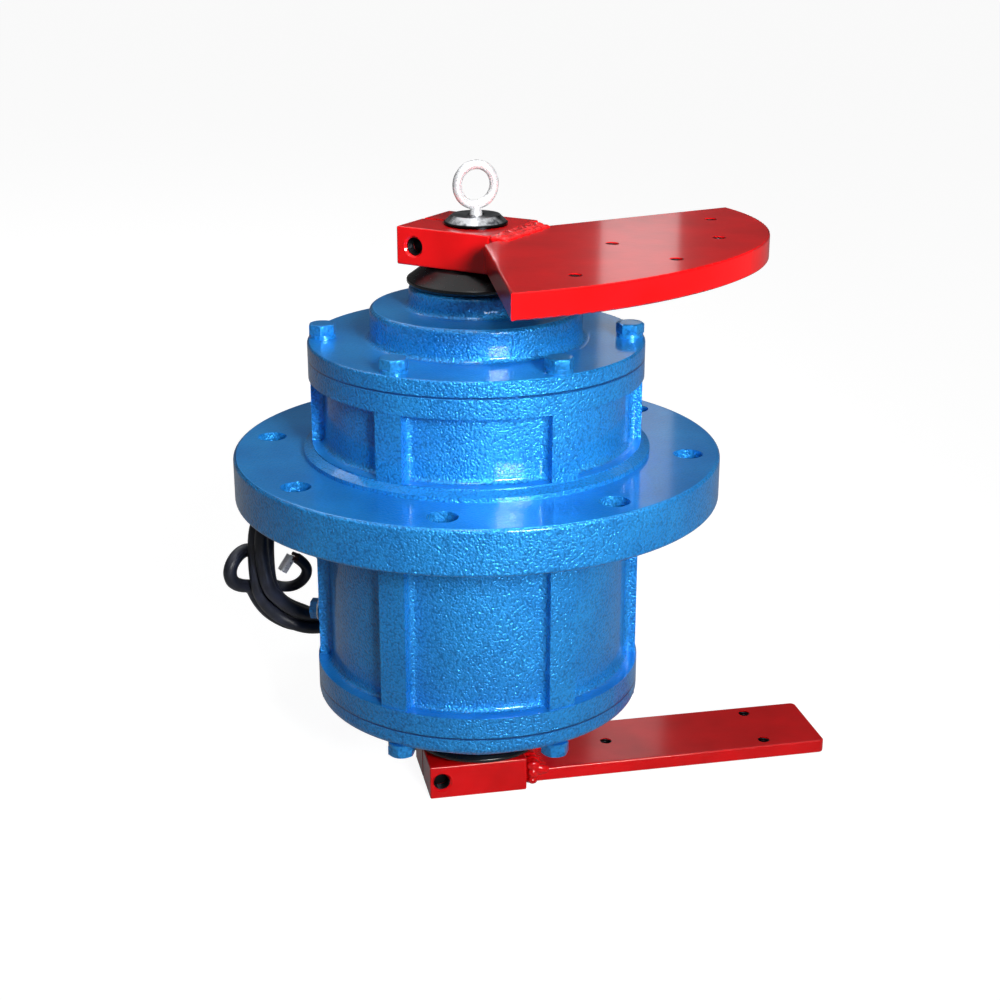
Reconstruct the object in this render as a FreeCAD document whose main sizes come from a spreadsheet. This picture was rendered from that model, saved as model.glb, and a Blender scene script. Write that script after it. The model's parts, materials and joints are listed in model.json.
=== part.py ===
"""Vertical vibration motor: a flanged cast housing, a shaft on two roller bearings, and an
out-of-balance weight clamped to each shaft end.

Frame: origin at the centre of the flange's lower face, +Z along the shaft towards the lifting eye.
Lengths are millimetres, angles are degrees counted from +X towards +Y.
"""
import FreeCAD
import Part
import Sketcher
import math
import os
import re

V = FreeCAD.Vector
doc = FreeCAD.newDocument("vibration_motor")
sheet = doc.addObject("Spreadsheet::Sheet", "Size")

# ------------------------------------------------------------------ driving dimensions
DIMENSIONS = {
    # flange
    "flange_radius": 165,
    "flange_thick": 31,
    "flange_edge": 2.5,
    "flange_pitch": 143.5,
    "flange_hole": 10,
    "flange_holes": 8,
    "flange_turn": -98.5,
    # housing drums above and below the flange
    "rib_radius": 111.5,
    "rib_width": 19.5,
    "panel_radius": 103,
    "panel_count": 6,
    "panel_lip": 1,
    "panel_fillet": 4.5,
    "foot_radius": 117.5,
    "foot_height": 6,
    "ring_radius": 112.7,
    "ring_upper": 13.5,
    "ring_lower": 15,
    "drum_top": 96.6,
    "drum_bottom": -135.3,
    "bore_radius": 90,
    # end covers, each measured outwards from its joint face
    "rim_upper": 10.8,
    "rim_lower": 12.5,
    "rim_corner_upper": 1.5,
    "rim_corner_lower": 6,
    "spigot_depth": 8,
    "spigot_wall": 10,
    "hub_radius": 71,
    "hub_rise": 21.6,
    "nose_radius": 44.8,
    "nose_rise": 14.2,
    "hub_corner": 3,
    "hub_fillet": 4.5,
    "cover_web": 2,
    "boss_radius": 68,
    "boss_depth": 4,
    # cover bolts
    "bolt_count": 6,
    "bolt_pitch": 102.6,
    "bolt_radius": 5,
    "bolt_flats": 16.4,
    "bolt_head": 6.8,
    "bolt_reach": 24,
    "washer_radius": 9,
    "washer_thick": 2.6,
    "thread_fit": 0.05,
    "bolt_gap": 0.5,
    # bearings
    "bearing_start": 1,
    "bearing_bore": 22.5,
    "bearing_radius": 50,
    "bearing_width": 25,
    "race_inner": 29.25,
    "race_outer": 43.25,
    "roller_count": 12,
    "roller_length": 14,
    "roller_gap": 0.2,
    "bearing_lip": 2.6,
    "press_gap": 0.02,
    "cage_inner": 33.5,
    "cage_outer": 39.2,
    "cage_end": 2.6,
    "cap_plate": 5,
    "cap_bore": 29,
    "screw_count": 4,
    "screw_pitch": 59,
    "screw_radius": 3,
    "screw_head_radius": 5,
    "screw_head": 5,
    "screw_reach": 12,
    "ring_chamfer": 0.8,
    "circlip_thick": 1.75,
    "circlip_room": 4,
    "circlip_radius": 27,
    "circlip_groove": 1.1,
    # shaft
    "shaft_end": 21,
    "seal_seat": 22,
    "shoulder": 27.5,
    "core_seat": 29,
    "shaft_stand": 6.3,
    "shaft_bevel": 5,
    "shaft_bevel_rise": 5,
    "shaft_low_chamfer": 2,
    "shaft_recess": 1,
    "eye_thread": 4.9,
    "eye_mouth": 5.8,
    "eye_mouth_depth": 1.4,
    "eye_depth": 22,
    "seal_radius": 31,
    "seal_width": 8,
    "seal_inset": 1.2,
    "seal_shelf": 25,
    "seal_lip": 1.6,
    # slingers
    "slinger_radius": 45.9,
    "slinger_gap": 0.5,
    "slinger_height_upper": 14.3,
    "slinger_height_lower": 11.2,
    "slinger_collar": 30,
    "slinger_wall": 4.5,
    "slinger_lip": 4,
    # motor inside
    "core_bottom": -66,
    "core_length": 92,
    "core_stop": 6,
    "air_gap": 0.6,
    "rotor_radius": 52,
    "slot_count": 24,
    "slot_depth": 19,
    "slot_width": 7.6,
    "slot_mouth": 2.6,
    "slot_lip": 2.4,
    "slot_liner": 0.3,
    "winding_rise": 24,
    "winding_gap": 2,
    "winding_radius": 79,
    "winding_round": 5,
    "bar_count": 20,
    "bar_radius": 3.4,
    "bar_pitch": 46.5,
    "end_ring_height": 11,
    "end_ring_inner": 38,
    "blade_count": 10,
    "blade_rise": 10,
    "blade_thick": 2.4,
    # clamp blocks of the two weights
    "block_tail": 41,
    "block_nose": 29,
    "block_half": 32.5,
    "block_height": 25,
    "block_edge": 1.2,
    "clamp_gap": 0.08,
    "slit_width": 3.2,
    "clamp_along_upper": -28,
    "clamp_along_lower": -32.5,
    "clamp_thread": 6,
    "clamp_room": 0.6,
    "clamp_chamfer": 1.2,
    "clamp_tip": 10,
    "clamp_flats": 18.6,
    "clamp_head": 7.5,
    "clamp_washer": 11,
    "clamp_washer_thick": 2.5,
    # upper weight
    "upper_turn": -31,
    "plate_start": 36,
    "plate_thick": 16,
    "plate_drop": 2,
    "plate_reach": 185.5,
    "plate_joint": 20,
    "plate_arc_front": 262,
    "plate_arc_back": 152,
    "plate_corner_front": 157,
    "plate_corner_back": 150,
    "plate_root_front": 49.5,
    "plate_root_back": 23,
    "plate_edge": 1.2,
    "tap_hole": 4.25,
    "tap_inner": 102,
    "tap_outer": 159,
    "tap_0": -2.5,
    "tap_1": -38,
    "tap_2": -10,
    "tap_3": 17,
    "tap_4": 40,
    # lower weight
    "lower_turn": 11,
    "bar_start": 36,
    "bar_end": 255,
    "bar_half": 32,
    "bar_thick": 10,
    "bar_drop": 9.5,
    "bar_corner": 4,
    "bar_tap_inner": 96,
    "bar_tap_outer": 211,
    "bar_tap_side": 22,
    "weld_under": 2,
    "weld_upper_reach": 3.5,
    "weld_upper_rise": 0.7,
    "weld_lower_reach": 10,
    "weld_lower_rise": 8,
    # lifting eye bolt
    "eye_neck": 4.4,
    "eye_rise": 19.2,
    "eye_ring": 13,
    "eye_wire": 3,
    "eye_turn": 22,
    # cable gland, cable and earth screw
    "gland_azimuth": 146,
    "gland_level": -43.5,
    "gland_boss": 14,
    "boss_root": 97,
    "gland_boss_face": 110,
    "gland_thread": 8,
    "gland_stub": 12,
    "gland_flats": 22,
    "gland_hex": 6,
    "gland_nut_radius": 12,
    "gland_nut_length": 14,
    "gland_nut_end": 9,
    "sleeve_length": 16,
    "sleeve_step": 0.6,
    "sleeve_end": 6.6,
    "cable_radius": 5,
    "hank_offset": 124.5,
    "hank_slide": -64.5,
    "hank_gap": 0.3,
    "hank_turn": 30,
    "hank_half_wide": 55,
    "hank_half_tall": 65,
    "hank_band": 21,
    "hank_round": 8,
    "bight_radius": 14,
    "bight_sweep": 236,
    "bight_out": 1.2,
    "bight_drop": 3,
    "tail_forward": 4,
    "tail_level": -87,
    "tail_reach": 8,
    "tail_bend": 13,
    "tail_sweep": 240,
    "tail_radius": 4,
    "tail_end": 60,
    "core_count": 3,
    "core_radius": 1.4,
    "core_pitch": 2.2,
    "core_reach": 5,
    "lug_radius": 1.8,
    "lug_pitch": 37,
    "lug_length": 13,
    "lead_run": 32,
    "earth_azimuth": 170,
    "earth_level": -98,
    "earth_thread": 4,
    "earth_reach": 10,
    "earth_flats": 13,
    "earth_head": 5.3,
    "earth_washer": 8,
    "earth_washer_thick": 1.6,
    "earth_boss": 10,
    "earth_boss_face": 114,
}
for row, (alias, number) in enumerate(DIMENSIONS.items(), start=1):
    sheet.set(f"A{row}", alias)
    sheet.set(f"B{row}", str(number))
    sheet.setAlias(f"B{row}", alias)
doc.recompute()


# ------------------------------------------------------------------ small helpers
def bound(text):
    """Turn the sheet's aliases in a formula into references to the sheet."""
    return re.sub(
        r"[a-z][a-z_0-9]*",
        lambda found: f"Size.{found[0]}" if found[0] in DIMENSIONS else found[0],
        str(text),
    )


def number(text):
    """The value that a formula has now."""
    return float(sheet.evalExpression(bound(text)))


def place(thing, x="0", y="0", z="0", yaw=None, pitch=None, roll=None):
    """Bind a placement: a roll about X, a pitch about Y and a yaw about Z, then a shift."""
    thing.setExpression("Placement.Base.x", bound(x))
    thing.setExpression("Placement.Base.y", bound(y))
    thing.setExpression("Placement.Base.z", bound(z))
    for name, angle in (("Yaw", yaw), ("Pitch", pitch), ("Roll", roll)):
        if angle is not None:
            thing.setExpression(f"Placement.Rotation.{name}", bound(f"({angle}) * 1 deg"))


def new_body(label):
    """A sub-part that is built as one PartDesign body."""
    body = doc.addObject("PartDesign::Body", label)
    body.Label = label
    return body


def origin_item(body, role):
    """A plane or axis of the body's own origin."""
    return next(item for item in body.Origin.OriginFeatures if item.Role == role)


def new_sketch(body, plane, lift="0", turned=0):
    """A sketch on an origin plane, lifted along the plane's normal. An upright one may be
    turned about the body's Z axis."""
    sketch = body.newObject("Sketcher::SketchObject", "Outline")
    sketch.AttachmentSupport = [(origin_item(body, plane), "")]
    sketch.MapMode = "FlatFace"
    if turned:
        sketch.AttachmentOffset = FreeCAD.Placement(V(0, 0, 0), FreeCAD.Rotation(V(0, 1, 0), turned))
    sketch.setExpression("AttachmentOffset.Base.z", bound(lift))
    return sketch


def pin_point(sketch, item, end, x, y):
    """Bind one point of a sketch to two formulas."""
    for kind, text in (("DistanceX", x), ("DistanceY", y)):
        mark = sketch.addConstraint(Sketcher.Constraint(kind, -1, 1, item, end, number(text)))
        sketch.setExpression(f"Constraints[{mark}]", bound(text))


def draw_polygon(sketch, points):
    """A closed outline of straight edges through points that are pairs of formulas."""
    corners = [V(number(x), number(y), 0) for x, y in points]
    items = []
    for here, start in enumerate(corners):
        stop = corners[(here + 1) % len(corners)]
        items.append(sketch.addGeometry(Part.LineSegment(start, stop), False))
    for here, item in enumerate(items):
        following = items[(here + 1) % len(items)]
        sketch.addConstraint(Sketcher.Constraint("Coincident", item, 2, following, 1))
        pin_point(sketch, item, 1, *points[here])
    return items


def draw_circle(sketch, radius, x="0", y="0"):
    """A circle bound by its radius and its centre."""
    circle = Part.Circle(V(number(x), number(y), 0), V(0, 0, 1), number(radius))
    item = sketch.addGeometry(circle, False)
    mark = sketch.addConstraint(Sketcher.Constraint("Radius", item, number(radius)))
    sketch.setExpression(f"Constraints[{mark}]", bound(radius))
    pin_point(sketch, item, 3, x, y)
    return item


def draw_hexagon(sketch, flats, x="0", y="0"):
    """A hexagon bound by its width across flats and its centre."""
    points = []
    for corner in range(6):
        turn = 30 + 60 * corner
        reach = f"{flats} / 2 / cos(30)"
        points.append((f"{x} + {reach} * cos({turn})", f"{y} + {reach} * sin({turn})"))
    return draw_polygon(sketch, points)


def feature(body, kind, sketch=None, **bindings):
    """A PartDesign feature with its sizes bound to formulas."""
    made = body.newObject(f"PartDesign::{kind}", kind)
    if sketch is not None:
        made.Profile = sketch
    for name, text in bindings.items():
        made.setExpression(name, bound(text))
    return made


def pad(body, sketch, length, down=False, both=False):
    """A pad along the sketch's normal, against it, or half each way."""
    made = feature(body, "Pad", sketch, Length=length)
    made.Reversed = down
    made.Midplane = both
    return made


def pocket(body, sketch, length=None, up=False):
    """A pocket of a length, or right through both ways where no length is given."""
    if length is None:
        made = feature(body, "Pocket", sketch)
        made.Type = "ThroughAll"
        made.Midplane = True
        return made
    made = feature(body, "Pocket", sketch, Length=length)
    made.Reversed = up
    return made


def turned_shape(body, sketch, kind="Revolution", angle="360", middle=False):
    """A turned shape, or a turned groove, about the sketch's vertical axis."""
    made = feature(body, kind, sketch, Angle=angle)
    made.ReferenceAxis = (sketch, ["V_Axis"])
    made.Midplane = middle
    return made


def ring_of(body, features, count):
    """Repeat features round the body's Z axis."""
    made = body.newObject("PartDesign::PolarPattern", "Ring")
    made.Originals = features
    made.Axis = (origin_item(body, "Z_Axis"), [""])
    made.Angle = 360
    made.setExpression("Occurrences", bound(count))
    body.Tip = made
    return made


def soften(body, picks, size, kind="Fillet"):
    """Round or chamfer the edges of the body's last feature that a test picks."""
    doc.recompute()
    base = body.Tip
    names = [f"Edge{k}" for k, edge in enumerate(base.Shape.Edges, start=1) if picks(edge)]
    if not names:
        raise ValueError(f"{body.Label}: no edge to soften")
    made = body.newObject(f"PartDesign::{kind}", kind)
    made.Base = (base, names)
    made.setExpression("Radius" if kind == "Fillet" else "Size", bound(size))
    return made


def circle_at(radius, level):
    """A test for edges that lie on one circle round Z."""
    size = number(radius)
    height = number(level)

    def picks(edge):
        curve = edge.Curve
        if not isinstance(curve, Part.Circle) or abs(curve.Axis.z) < 0.99:
            return False
        centred = math.hypot(curve.Center.x, curve.Center.y) < 0.01
        return centred and abs(curve.Radius - size) < 0.01 and abs(curve.Center.z - height) < 0.01

    return picks


def any_of(*tests):
    """A test that passes what any of several tests passes."""
    return lambda edge: any(test(edge) for test in tests)


def upright_at(radius):
    """A test for straight edges along Z at one distance from it."""
    size = number(radius)

    def picks(edge):
        curve = edge.Curve
        if not isinstance(curve, Part.Line) or abs(curve.Direction.z) < 0.99:
            return False
        middle = edge.CenterOfMass
        return abs(math.hypot(middle.x, middle.y) - size) < 0.01

    return picks


# ------------------------------------------------------------------ housing
def make_housing():
    """Cast housing: flange, two ribbed drums with joint rings, and the stator bore."""
    body = new_body("motor_housing")
    profile = new_sketch(body, "XZ_Plane")
    draw_polygon(profile, [
        ("bore_radius", "drum_bottom"),
        ("ring_radius", "drum_bottom"),
        ("ring_radius", "drum_bottom + ring_lower"),
        ("rib_radius", "drum_bottom + ring_lower"),
        ("rib_radius", "-foot_height"),
        ("foot_radius", "-foot_height / 2"),
        ("foot_radius", "0"),
        ("flange_radius", "0"),
        ("flange_radius", "flange_thick"),
        ("foot_radius", "flange_thick"),
        ("foot_radius", "flange_thick + foot_height / 2"),
        ("rib_radius", "flange_thick + foot_height"),
        ("rib_radius", "drum_top - ring_upper"),
        ("ring_radius", "drum_top - ring_upper"),
        ("ring_radius", "drum_top"),
        ("bore_radius", "drum_top"),
    ])
    turned_shape(body, profile)
    soften(body, any_of(
        circle_at("flange_radius", "flange_thick"),
        circle_at("flange_radius", "0"),
    ), "flange_edge")
    # recessed panels between the ribs, above and below the flange
    opening = "2 * (180 deg / panel_count - asin(rib_width / 2 / rib_radius))"
    spans = (
        ("flange_thick + foot_height + panel_lip", "drum_top - ring_upper"),
        ("drum_bottom + ring_lower", "-foot_height - panel_lip"),
    )
    grooves = []
    for low, high in spans:
        panel = new_sketch(body, "XZ_Plane", turned=180 / number("panel_count"))
        draw_polygon(panel, [
            ("panel_radius", low),
            ("ring_radius + panel_lip", low),
            ("ring_radius + panel_lip", high),
            ("panel_radius", high),
        ])
        grooves.append(turned_shape(body, panel, "Groove", opening, middle=True))
    ring_of(body, grooves, "panel_count")
    corners = [circle_at("panel_radius", level) for span in spans for level in span]
    soften(body, any_of(upright_at("panel_radius"), *corners), "panel_fillet")
    # flange holes, blind threads for the cover bolts, gland boss and earth boss
    holes = new_sketch(body, "XY_Plane")
    draw_circle(
        holes,
        "flange_hole",
        "flange_pitch * cos(flange_turn)",
        "flange_pitch * sin(flange_turn)",
    )
    ring_of(body, [pocket(body, holes)], "flange_holes")
    for face, up in (("drum_top", False), ("drum_bottom", True)):
        thread = new_sketch(body, "XY_Plane", lift=face)
        draw_circle(thread, "bolt_radius + thread_fit", "bolt_pitch")
        ring_of(body, [pocket(body, thread, "bolt_reach + 3 * bolt_gap", up)], "bolt_count")
    gland = ("gland_azimuth", "gland_level")
    earth = ("earth_azimuth", "earth_level")
    thread_end = "earth_boss_face - earth_reach - bolt_gap"
    for kind, spot, span, radius in (
        ("Revolution", gland, ("boss_root", "gland_boss_face"), "gland_boss"),
        ("Groove", gland, ("winding_radius", "gland_boss_face + panel_lip"), "gland_thread + thread_fit"),
        ("Revolution", earth, ("boss_root", "earth_boss_face"), "earth_boss"),
        ("Groove", earth, (thread_end, "earth_boss_face + panel_lip"), "earth_thread + thread_fit"),
    ):
        radial_turn(body, kind, *spot, *span, radius)
    return body


def radial_turn(body, kind, azimuth, level, inner, outer, radius):
    """A round boss or hole with a radial axis, between two distances from the motor's axis."""
    profile = new_sketch(body, "XZ_Plane", turned=number(azimuth))
    profile.setExpression("AttachmentOffset.Base.y", bound(level))
    draw_polygon(profile, [(inner, "0"), (outer, "0"), (outer, radius), (inner, radius)])
    made = feature(body, kind, profile, Angle="360")
    made.ReferenceAxis = (profile, ["H_Axis"])
    return made


# ------------------------------------------------------------------ end covers and bearings
def make_cover(end):
    """End cover: bolted rim, spigot, bearing hub with a blind pocket, and the seal nose."""
    body = new_body(f"{end.name}_cover")
    hub_top = f"{end.rim} + hub_rise"
    nose_top = f"{hub_top} + nose_rise"
    pocket_top = "bearing_start + bearing_width"
    profile = new_sketch(body, "XZ_Plane")
    draw_polygon(profile, [
        ("bore_radius - thread_fit", "-spigot_depth"),
        ("bore_radius - thread_fit", "0"),
        ("ring_radius", "0"),
        ("ring_radius", end.rim),
        ("hub_radius", end.rim),
        ("hub_radius", hub_top),
        ("nose_radius", hub_top),
        ("nose_radius", nose_top),
        ("seal_radius", nose_top),
        ("seal_radius", f"{nose_top} - seal_inset - seal_width"),
        ("seal_shelf", f"{nose_top} - seal_inset - seal_width"),
        ("seal_shelf", f"{pocket_top} + circlip_room"),
        ("race_outer", f"{pocket_top} + circlip_room"),
        ("race_outer", pocket_top),
        ("bearing_radius + press_gap", pocket_top),
        ("bearing_radius + press_gap", "-boss_depth"),
        ("boss_radius", "-boss_depth"),
        ("boss_radius + cover_web", "cover_web"),
        ("bore_radius - spigot_wall - cover_web", "cover_web"),
        ("bore_radius - spigot_wall", "-spigot_depth"),
    ])
    turned_shape(body, profile)
    soften(body, circle_at("ring_radius", end.rim), end.rim_corner)
    soften(body, any_of(
        circle_at("hub_radius", end.rim),
        circle_at("nose_radius", hub_top),
    ), "hub_fillet")
    soften(body, any_of(
        circle_at("hub_radius", hub_top),
        circle_at("nose_radius", nose_top),
    ), "hub_corner")
    holes = new_sketch(body, "XY_Plane")
    draw_circle(holes, "bolt_radius + bolt_gap", "bolt_pitch")
    ring_of(body, [pocket(body, holes)], "bolt_count")
    threads = new_sketch(body, "XY_Plane", lift="-boss_depth")
    draw_circle(threads, "screw_radius + thread_fit", "screw_pitch")
    ring_of(body, [pocket(body, threads, "screw_reach + bolt_gap", up=True)], "screw_count")
    end.put(body)
    return body


def make_cover_bolts(end):
    """Hex head bolts of a cover, heads outwards."""
    body = new_body(f"{end.name}_cover_bolts")
    under_head = f"{end.rim} + washer_thick"
    shank = new_sketch(body, "XY_Plane", lift=under_head)
    draw_circle(shank, "bolt_radius", "bolt_pitch")
    stem = pad(body, shank, f"{under_head} + bolt_reach", down=True)
    outline = new_sketch(body, "XY_Plane", lift=under_head)
    draw_hexagon(outline, "bolt_flats", "bolt_pitch")
    head = pad(body, outline, "bolt_head")
    ring_of(body, [stem, head], "bolt_count")
    end.put(body)
    return body


def make_spring_washers(end):
    """Washers under the cover bolts' heads."""
    body = new_body(f"{end.name}_spring_washers")
    outline = new_sketch(body, "XY_Plane", lift=end.rim)
    draw_circle(outline, "washer_radius", "bolt_pitch")
    draw_circle(outline, "bolt_radius + bolt_gap", "bolt_pitch")
    ring_of(body, [pad(body, outline, "washer_thick")], "bolt_count")
    end.put(body)
    return body


def make_outer_ring(end):
    """Outer ring of the roller bearing, with a guiding lip at each side."""
    body = new_body(f"{end.name}_bearing_outer_ring")
    low = "bearing_start"
    high = "bearing_start + bearing_width"
    lip = "((bearing_width - roller_length) / 2 - roller_gap)"
    profile = new_sketch(body, "XZ_Plane")
    draw_polygon(profile, [
        ("bearing_radius", low),
        ("bearing_radius", high),
        ("race_outer - bearing_lip", high),
        ("race_outer - bearing_lip", f"{high} - {lip}"),
        ("race_outer", f"{high} - {lip}"),
        ("race_outer", f"{low} + {lip}"),
        ("race_outer - bearing_lip", f"{low} + {lip}"),
        ("race_outer - bearing_lip", low),
    ])
    turned_shape(body, profile)
    end.put(body)
    return body


def make_inner_ring(end):
    """Inner ring of the roller bearing: a plain raceway pressed on the shaft."""
    body = new_body(f"{end.name}_bearing_inner_ring")
    profile = new_sketch(body, "XY_Plane", lift="bearing_start")
    draw_circle(profile, "race_inner")
    draw_circle(profile, "bearing_bore + press_gap")
    pad(body, profile, "bearing_width")
    soften(body, any_of(
        circle_at("race_inner", "bearing_start"),
        circle_at("race_inner", "bearing_start + bearing_width"),
    ), "ring_chamfer", "Chamfer")
    end.put(body)
    return body


ROLLER_PITCH = "(race_inner + race_outer) / 2"
ROLLER_RADIUS = "((race_outer - race_inner) / 2 - roller_gap)"
ROLLER_BASE = "bearing_start + (bearing_width - roller_length) / 2"


def make_rollers(end):
    """Cylindrical rollers of a bearing."""
    body = new_body(f"{end.name}_rollers")
    outline = new_sketch(body, "XY_Plane", lift=ROLLER_BASE)
    draw_circle(outline, ROLLER_RADIUS, ROLLER_PITCH)
    ring_of(body, [pad(body, outline, "roller_length")], "roller_count")
    end.put(body)
    return body


def make_roller_cage(end):
    """Cage that keeps the rollers apart: a drum with one window for each roller."""
    body = new_body(f"{end.name}_roller_cage")
    outline = new_sketch(body, "XY_Plane", lift=f"{ROLLER_BASE} - cage_end")
    draw_circle(outline, "cage_outer")
    draw_circle(outline, "cage_inner")
    pad(body, outline, "roller_length + 2 * cage_end")
    window = new_sketch(body, "XY_Plane", lift=f"{ROLLER_BASE} - roller_gap")
    draw_circle(window, f"{ROLLER_RADIUS} + roller_gap", ROLLER_PITCH)
    cut = pocket(body, window, "roller_length + 2 * roller_gap", up=True)
    ring_of(body, [cut], "roller_count")
    end.put(body)
    return body


def make_bearing_cap(end):
    """Inner bearing cap: a plate screwed to the cover's boss, with a spigot on the outer ring."""
    body = new_body(f"{end.name}_bearing_cap")
    profile = new_sketch(body, "XZ_Plane")
    draw_polygon(profile, [
        ("cap_bore", "-boss_depth - cap_plate"),
        ("boss_radius", "-boss_depth - cap_plate"),
        ("boss_radius", "-boss_depth"),
        ("bearing_radius - press_gap", "-boss_depth"),
        ("bearing_radius - press_gap", "bearing_start"),
        ("race_outer", "bearing_start"),
        ("race_outer", "-boss_depth"),
        ("cap_bore", "-boss_depth"),
    ])
    turned_shape(body, profile)
    holes = new_sketch(body, "XY_Plane")
    draw_circle(holes, "screw_radius + bolt_gap", "screw_pitch")
    ring_of(body, [pocket(body, holes)], "screw_count")
    end.put(body)
    return body


def make_cap_screws(end):
    """Socket screws that hold the bearing cap."""
    body = new_body(f"{end.name}_cap_screws")
    seat = "-boss_depth - cap_plate"
    shank = new_sketch(body, "XY_Plane", lift=seat)
    draw_circle(shank, "screw_radius", "screw_pitch")
    stem = pad(body, shank, "cap_plate + screw_reach")
    outline = new_sketch(body, "XY_Plane", lift=seat)
    draw_circle(outline, "screw_head_radius", "screw_pitch")
    head = pad(body, outline, "screw_head", down=True)
    ring_of(body, [stem, head], "screw_count")
    end.put(body)
    return body


def make_circlip(end):
    """Circlip in the shaft's groove, outside the bearing's inner ring."""
    body = new_body(f"{end.name}_circlip")
    profile = new_sketch(body, "XY_Plane", lift="bearing_start + bearing_width")
    draw_circle(profile, "circlip_radius")
    draw_circle(profile, "bearing_bore - circlip_groove + thread_fit")
    pad(body, profile, "circlip_thick")
    end.put(body)
    return body


def make_oil_seal(end):
    """Radial shaft seal in the cover's nose."""
    body = new_body(f"{end.name}_oil_seal")
    top = f"{end.rim} + hub_rise + nose_rise - seal_inset"
    profile = new_sketch(body, "XZ_Plane")
    draw_polygon(profile, [
        ("seal_radius - press_gap", f"{top} - seal_width"),
        ("seal_radius - press_gap", top),
        ("seal_seat + 2 * seal_lip", top),
        ("seal_seat + seal_lip / 4", f"{top} - seal_width / 2"),
        ("seal_seat + seal_lip / 4", f"{top} - seal_width / 2 - seal_lip"),
        ("seal_seat + 2 * seal_lip", f"{top} - seal_width"),
    ])
    turned_shape(body, profile)
    end.put(body)
    return body


def make_slinger(end):
    """Rubber slinger that turns with the shaft and covers the nose of the cover."""
    body = new_body(f"{end.name}_slinger")
    base = f"{end.rim} + hub_rise + nose_rise + slinger_gap"
    high = end.slinger_height
    profile = new_sketch(body, "XZ_Plane")
    draw_polygon(profile, [
        ("shaft_end + thread_fit", f"{base} + slinger_wall"),
        ("shaft_end + slinger_wall", f"{base} + slinger_wall"),
        ("nose_radius - 2 * slinger_wall", base),
        ("slinger_radius - slinger_lip / 2", base),
        ("slinger_radius", f"{base} + slinger_lip / 2"),
        ("slinger_radius", f"{base} + slinger_lip"),
        ("slinger_collar + slinger_wall", f"{base} + {high} - slinger_lip / 2"),
        ("slinger_collar", f"{base} + {high}"),
        ("shaft_end + thread_fit", f"{base} + {high}"),
    ])
    turned_shape(body, profile)
    soften(body, any_of(
        circle_at("slinger_radius", f"{base} + slinger_lip / 2"),
        circle_at("slinger_radius", f"{base} + slinger_lip"),
    ), "slinger_lip / 4")
    end.put(body)
    return body


class End:
    """One end of the motor: where its parts sit, and which of the shared sizes differ there."""

    def __init__(self, name, face, rim, corner, slinger_height, flipped):
        self.name = name
        self.face = face
        self.rim = rim
        self.rim_corner = corner
        self.slinger_height = slinger_height
        self.flipped = flipped

    def put(self, body):
        """Set a part that was built outwards from the joint face into its place."""
        place(body, z=self.face, roll="180" if self.flipped else None)


ends = [
    End("upper", "drum_top", "rim_upper", "rim_corner_upper", "slinger_height_upper", False),
    End("lower", "drum_bottom", "rim_lower", "rim_corner_lower", "slinger_height_lower", True),
]


# ------------------------------------------------------------------ stator and rotor
def make_stator_core():
    """Laminated stator core with open slots round its bore."""
    body = new_body("stator_core")
    outline = new_sketch(body, "XY_Plane", lift="core_bottom")
    draw_circle(outline, "bore_radius - press_gap")
    draw_circle(outline, "rotor_radius + air_gap")
    pad(body, outline, "core_length")
    slot = new_sketch(body, "XY_Plane")
    draw_polygon(slot, [
        ("rotor_radius", "-slot_mouth / 2"),
        (SLOT_FLOOR, "-slot_mouth / 2"),
        (SLOT_FLOOR, "-slot_width / 2"),
        (f"{SLOT_FLOOR} + slot_depth", "-slot_width / 2"),
        (f"{SLOT_FLOOR} + slot_depth", "slot_width / 2"),
        (SLOT_FLOOR, "slot_width / 2"),
        (SLOT_FLOOR, "slot_mouth / 2"),
        ("rotor_radius", "slot_mouth / 2"),
    ])
    ring_of(body, [pocket(body, slot)], "slot_count")
    return body


SLOT_FLOOR = "rotor_radius + air_gap + slot_lip"


def make_stator_winding():
    """Varnished winding: a bundle in every slot, joined by the end turns above and below."""
    body = new_body("stator_winding")
    inner = f"{SLOT_FLOOR} + slot_liner"
    turns = new_sketch(body, "XZ_Plane")
    ends_of_core = (
        ("core_bottom + core_length + winding_gap", "core_bottom + core_length + winding_rise"),
        ("core_bottom - winding_rise", "core_bottom - winding_gap"),
    )
    for low, high in ends_of_core:
        draw_polygon(turns, [
            (inner, low),
            ("winding_radius", low),
            ("winding_radius", high),
            (inner, high),
        ])
    turned_shape(body, turns)
    rounded = [
        circle_at(radius, level)
        for radius in (inner, "winding_radius")
        for level in ("core_bottom - winding_rise", "core_bottom + core_length + winding_rise")
    ]
    soften(body, any_of(*rounded), "winding_round")
    bundle = new_sketch(body, "XY_Plane", lift="core_bottom - winding_rise / 2")
    draw_polygon(bundle, [
        (f"{inner} + slot_liner", "-slot_width / 2 + slot_liner"),
        (f"{SLOT_FLOOR} + slot_depth - slot_liner", "-slot_width / 2 + slot_liner"),
        (f"{SLOT_FLOOR} + slot_depth - slot_liner", "slot_width / 2 - slot_liner"),
        (f"{inner} + slot_liner", "slot_width / 2 - slot_liner"),
    ])
    ring_of(body, [pad(body, bundle, "core_length + winding_rise")], "slot_count")
    return body


def make_rotor_core():
    """Laminated rotor core with round holes for the cage bars."""
    body = new_body("rotor_core")
    outline = new_sketch(body, "XY_Plane", lift="core_bottom")
    draw_circle(outline, "rotor_radius")
    draw_circle(outline, "core_seat + press_gap")
    pad(body, outline, "core_length")
    holes = new_sketch(body, "XY_Plane")
    draw_circle(holes, "bar_radius", "bar_pitch")
    ring_of(body, [pocket(body, holes)], "bar_count")
    return body


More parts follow.
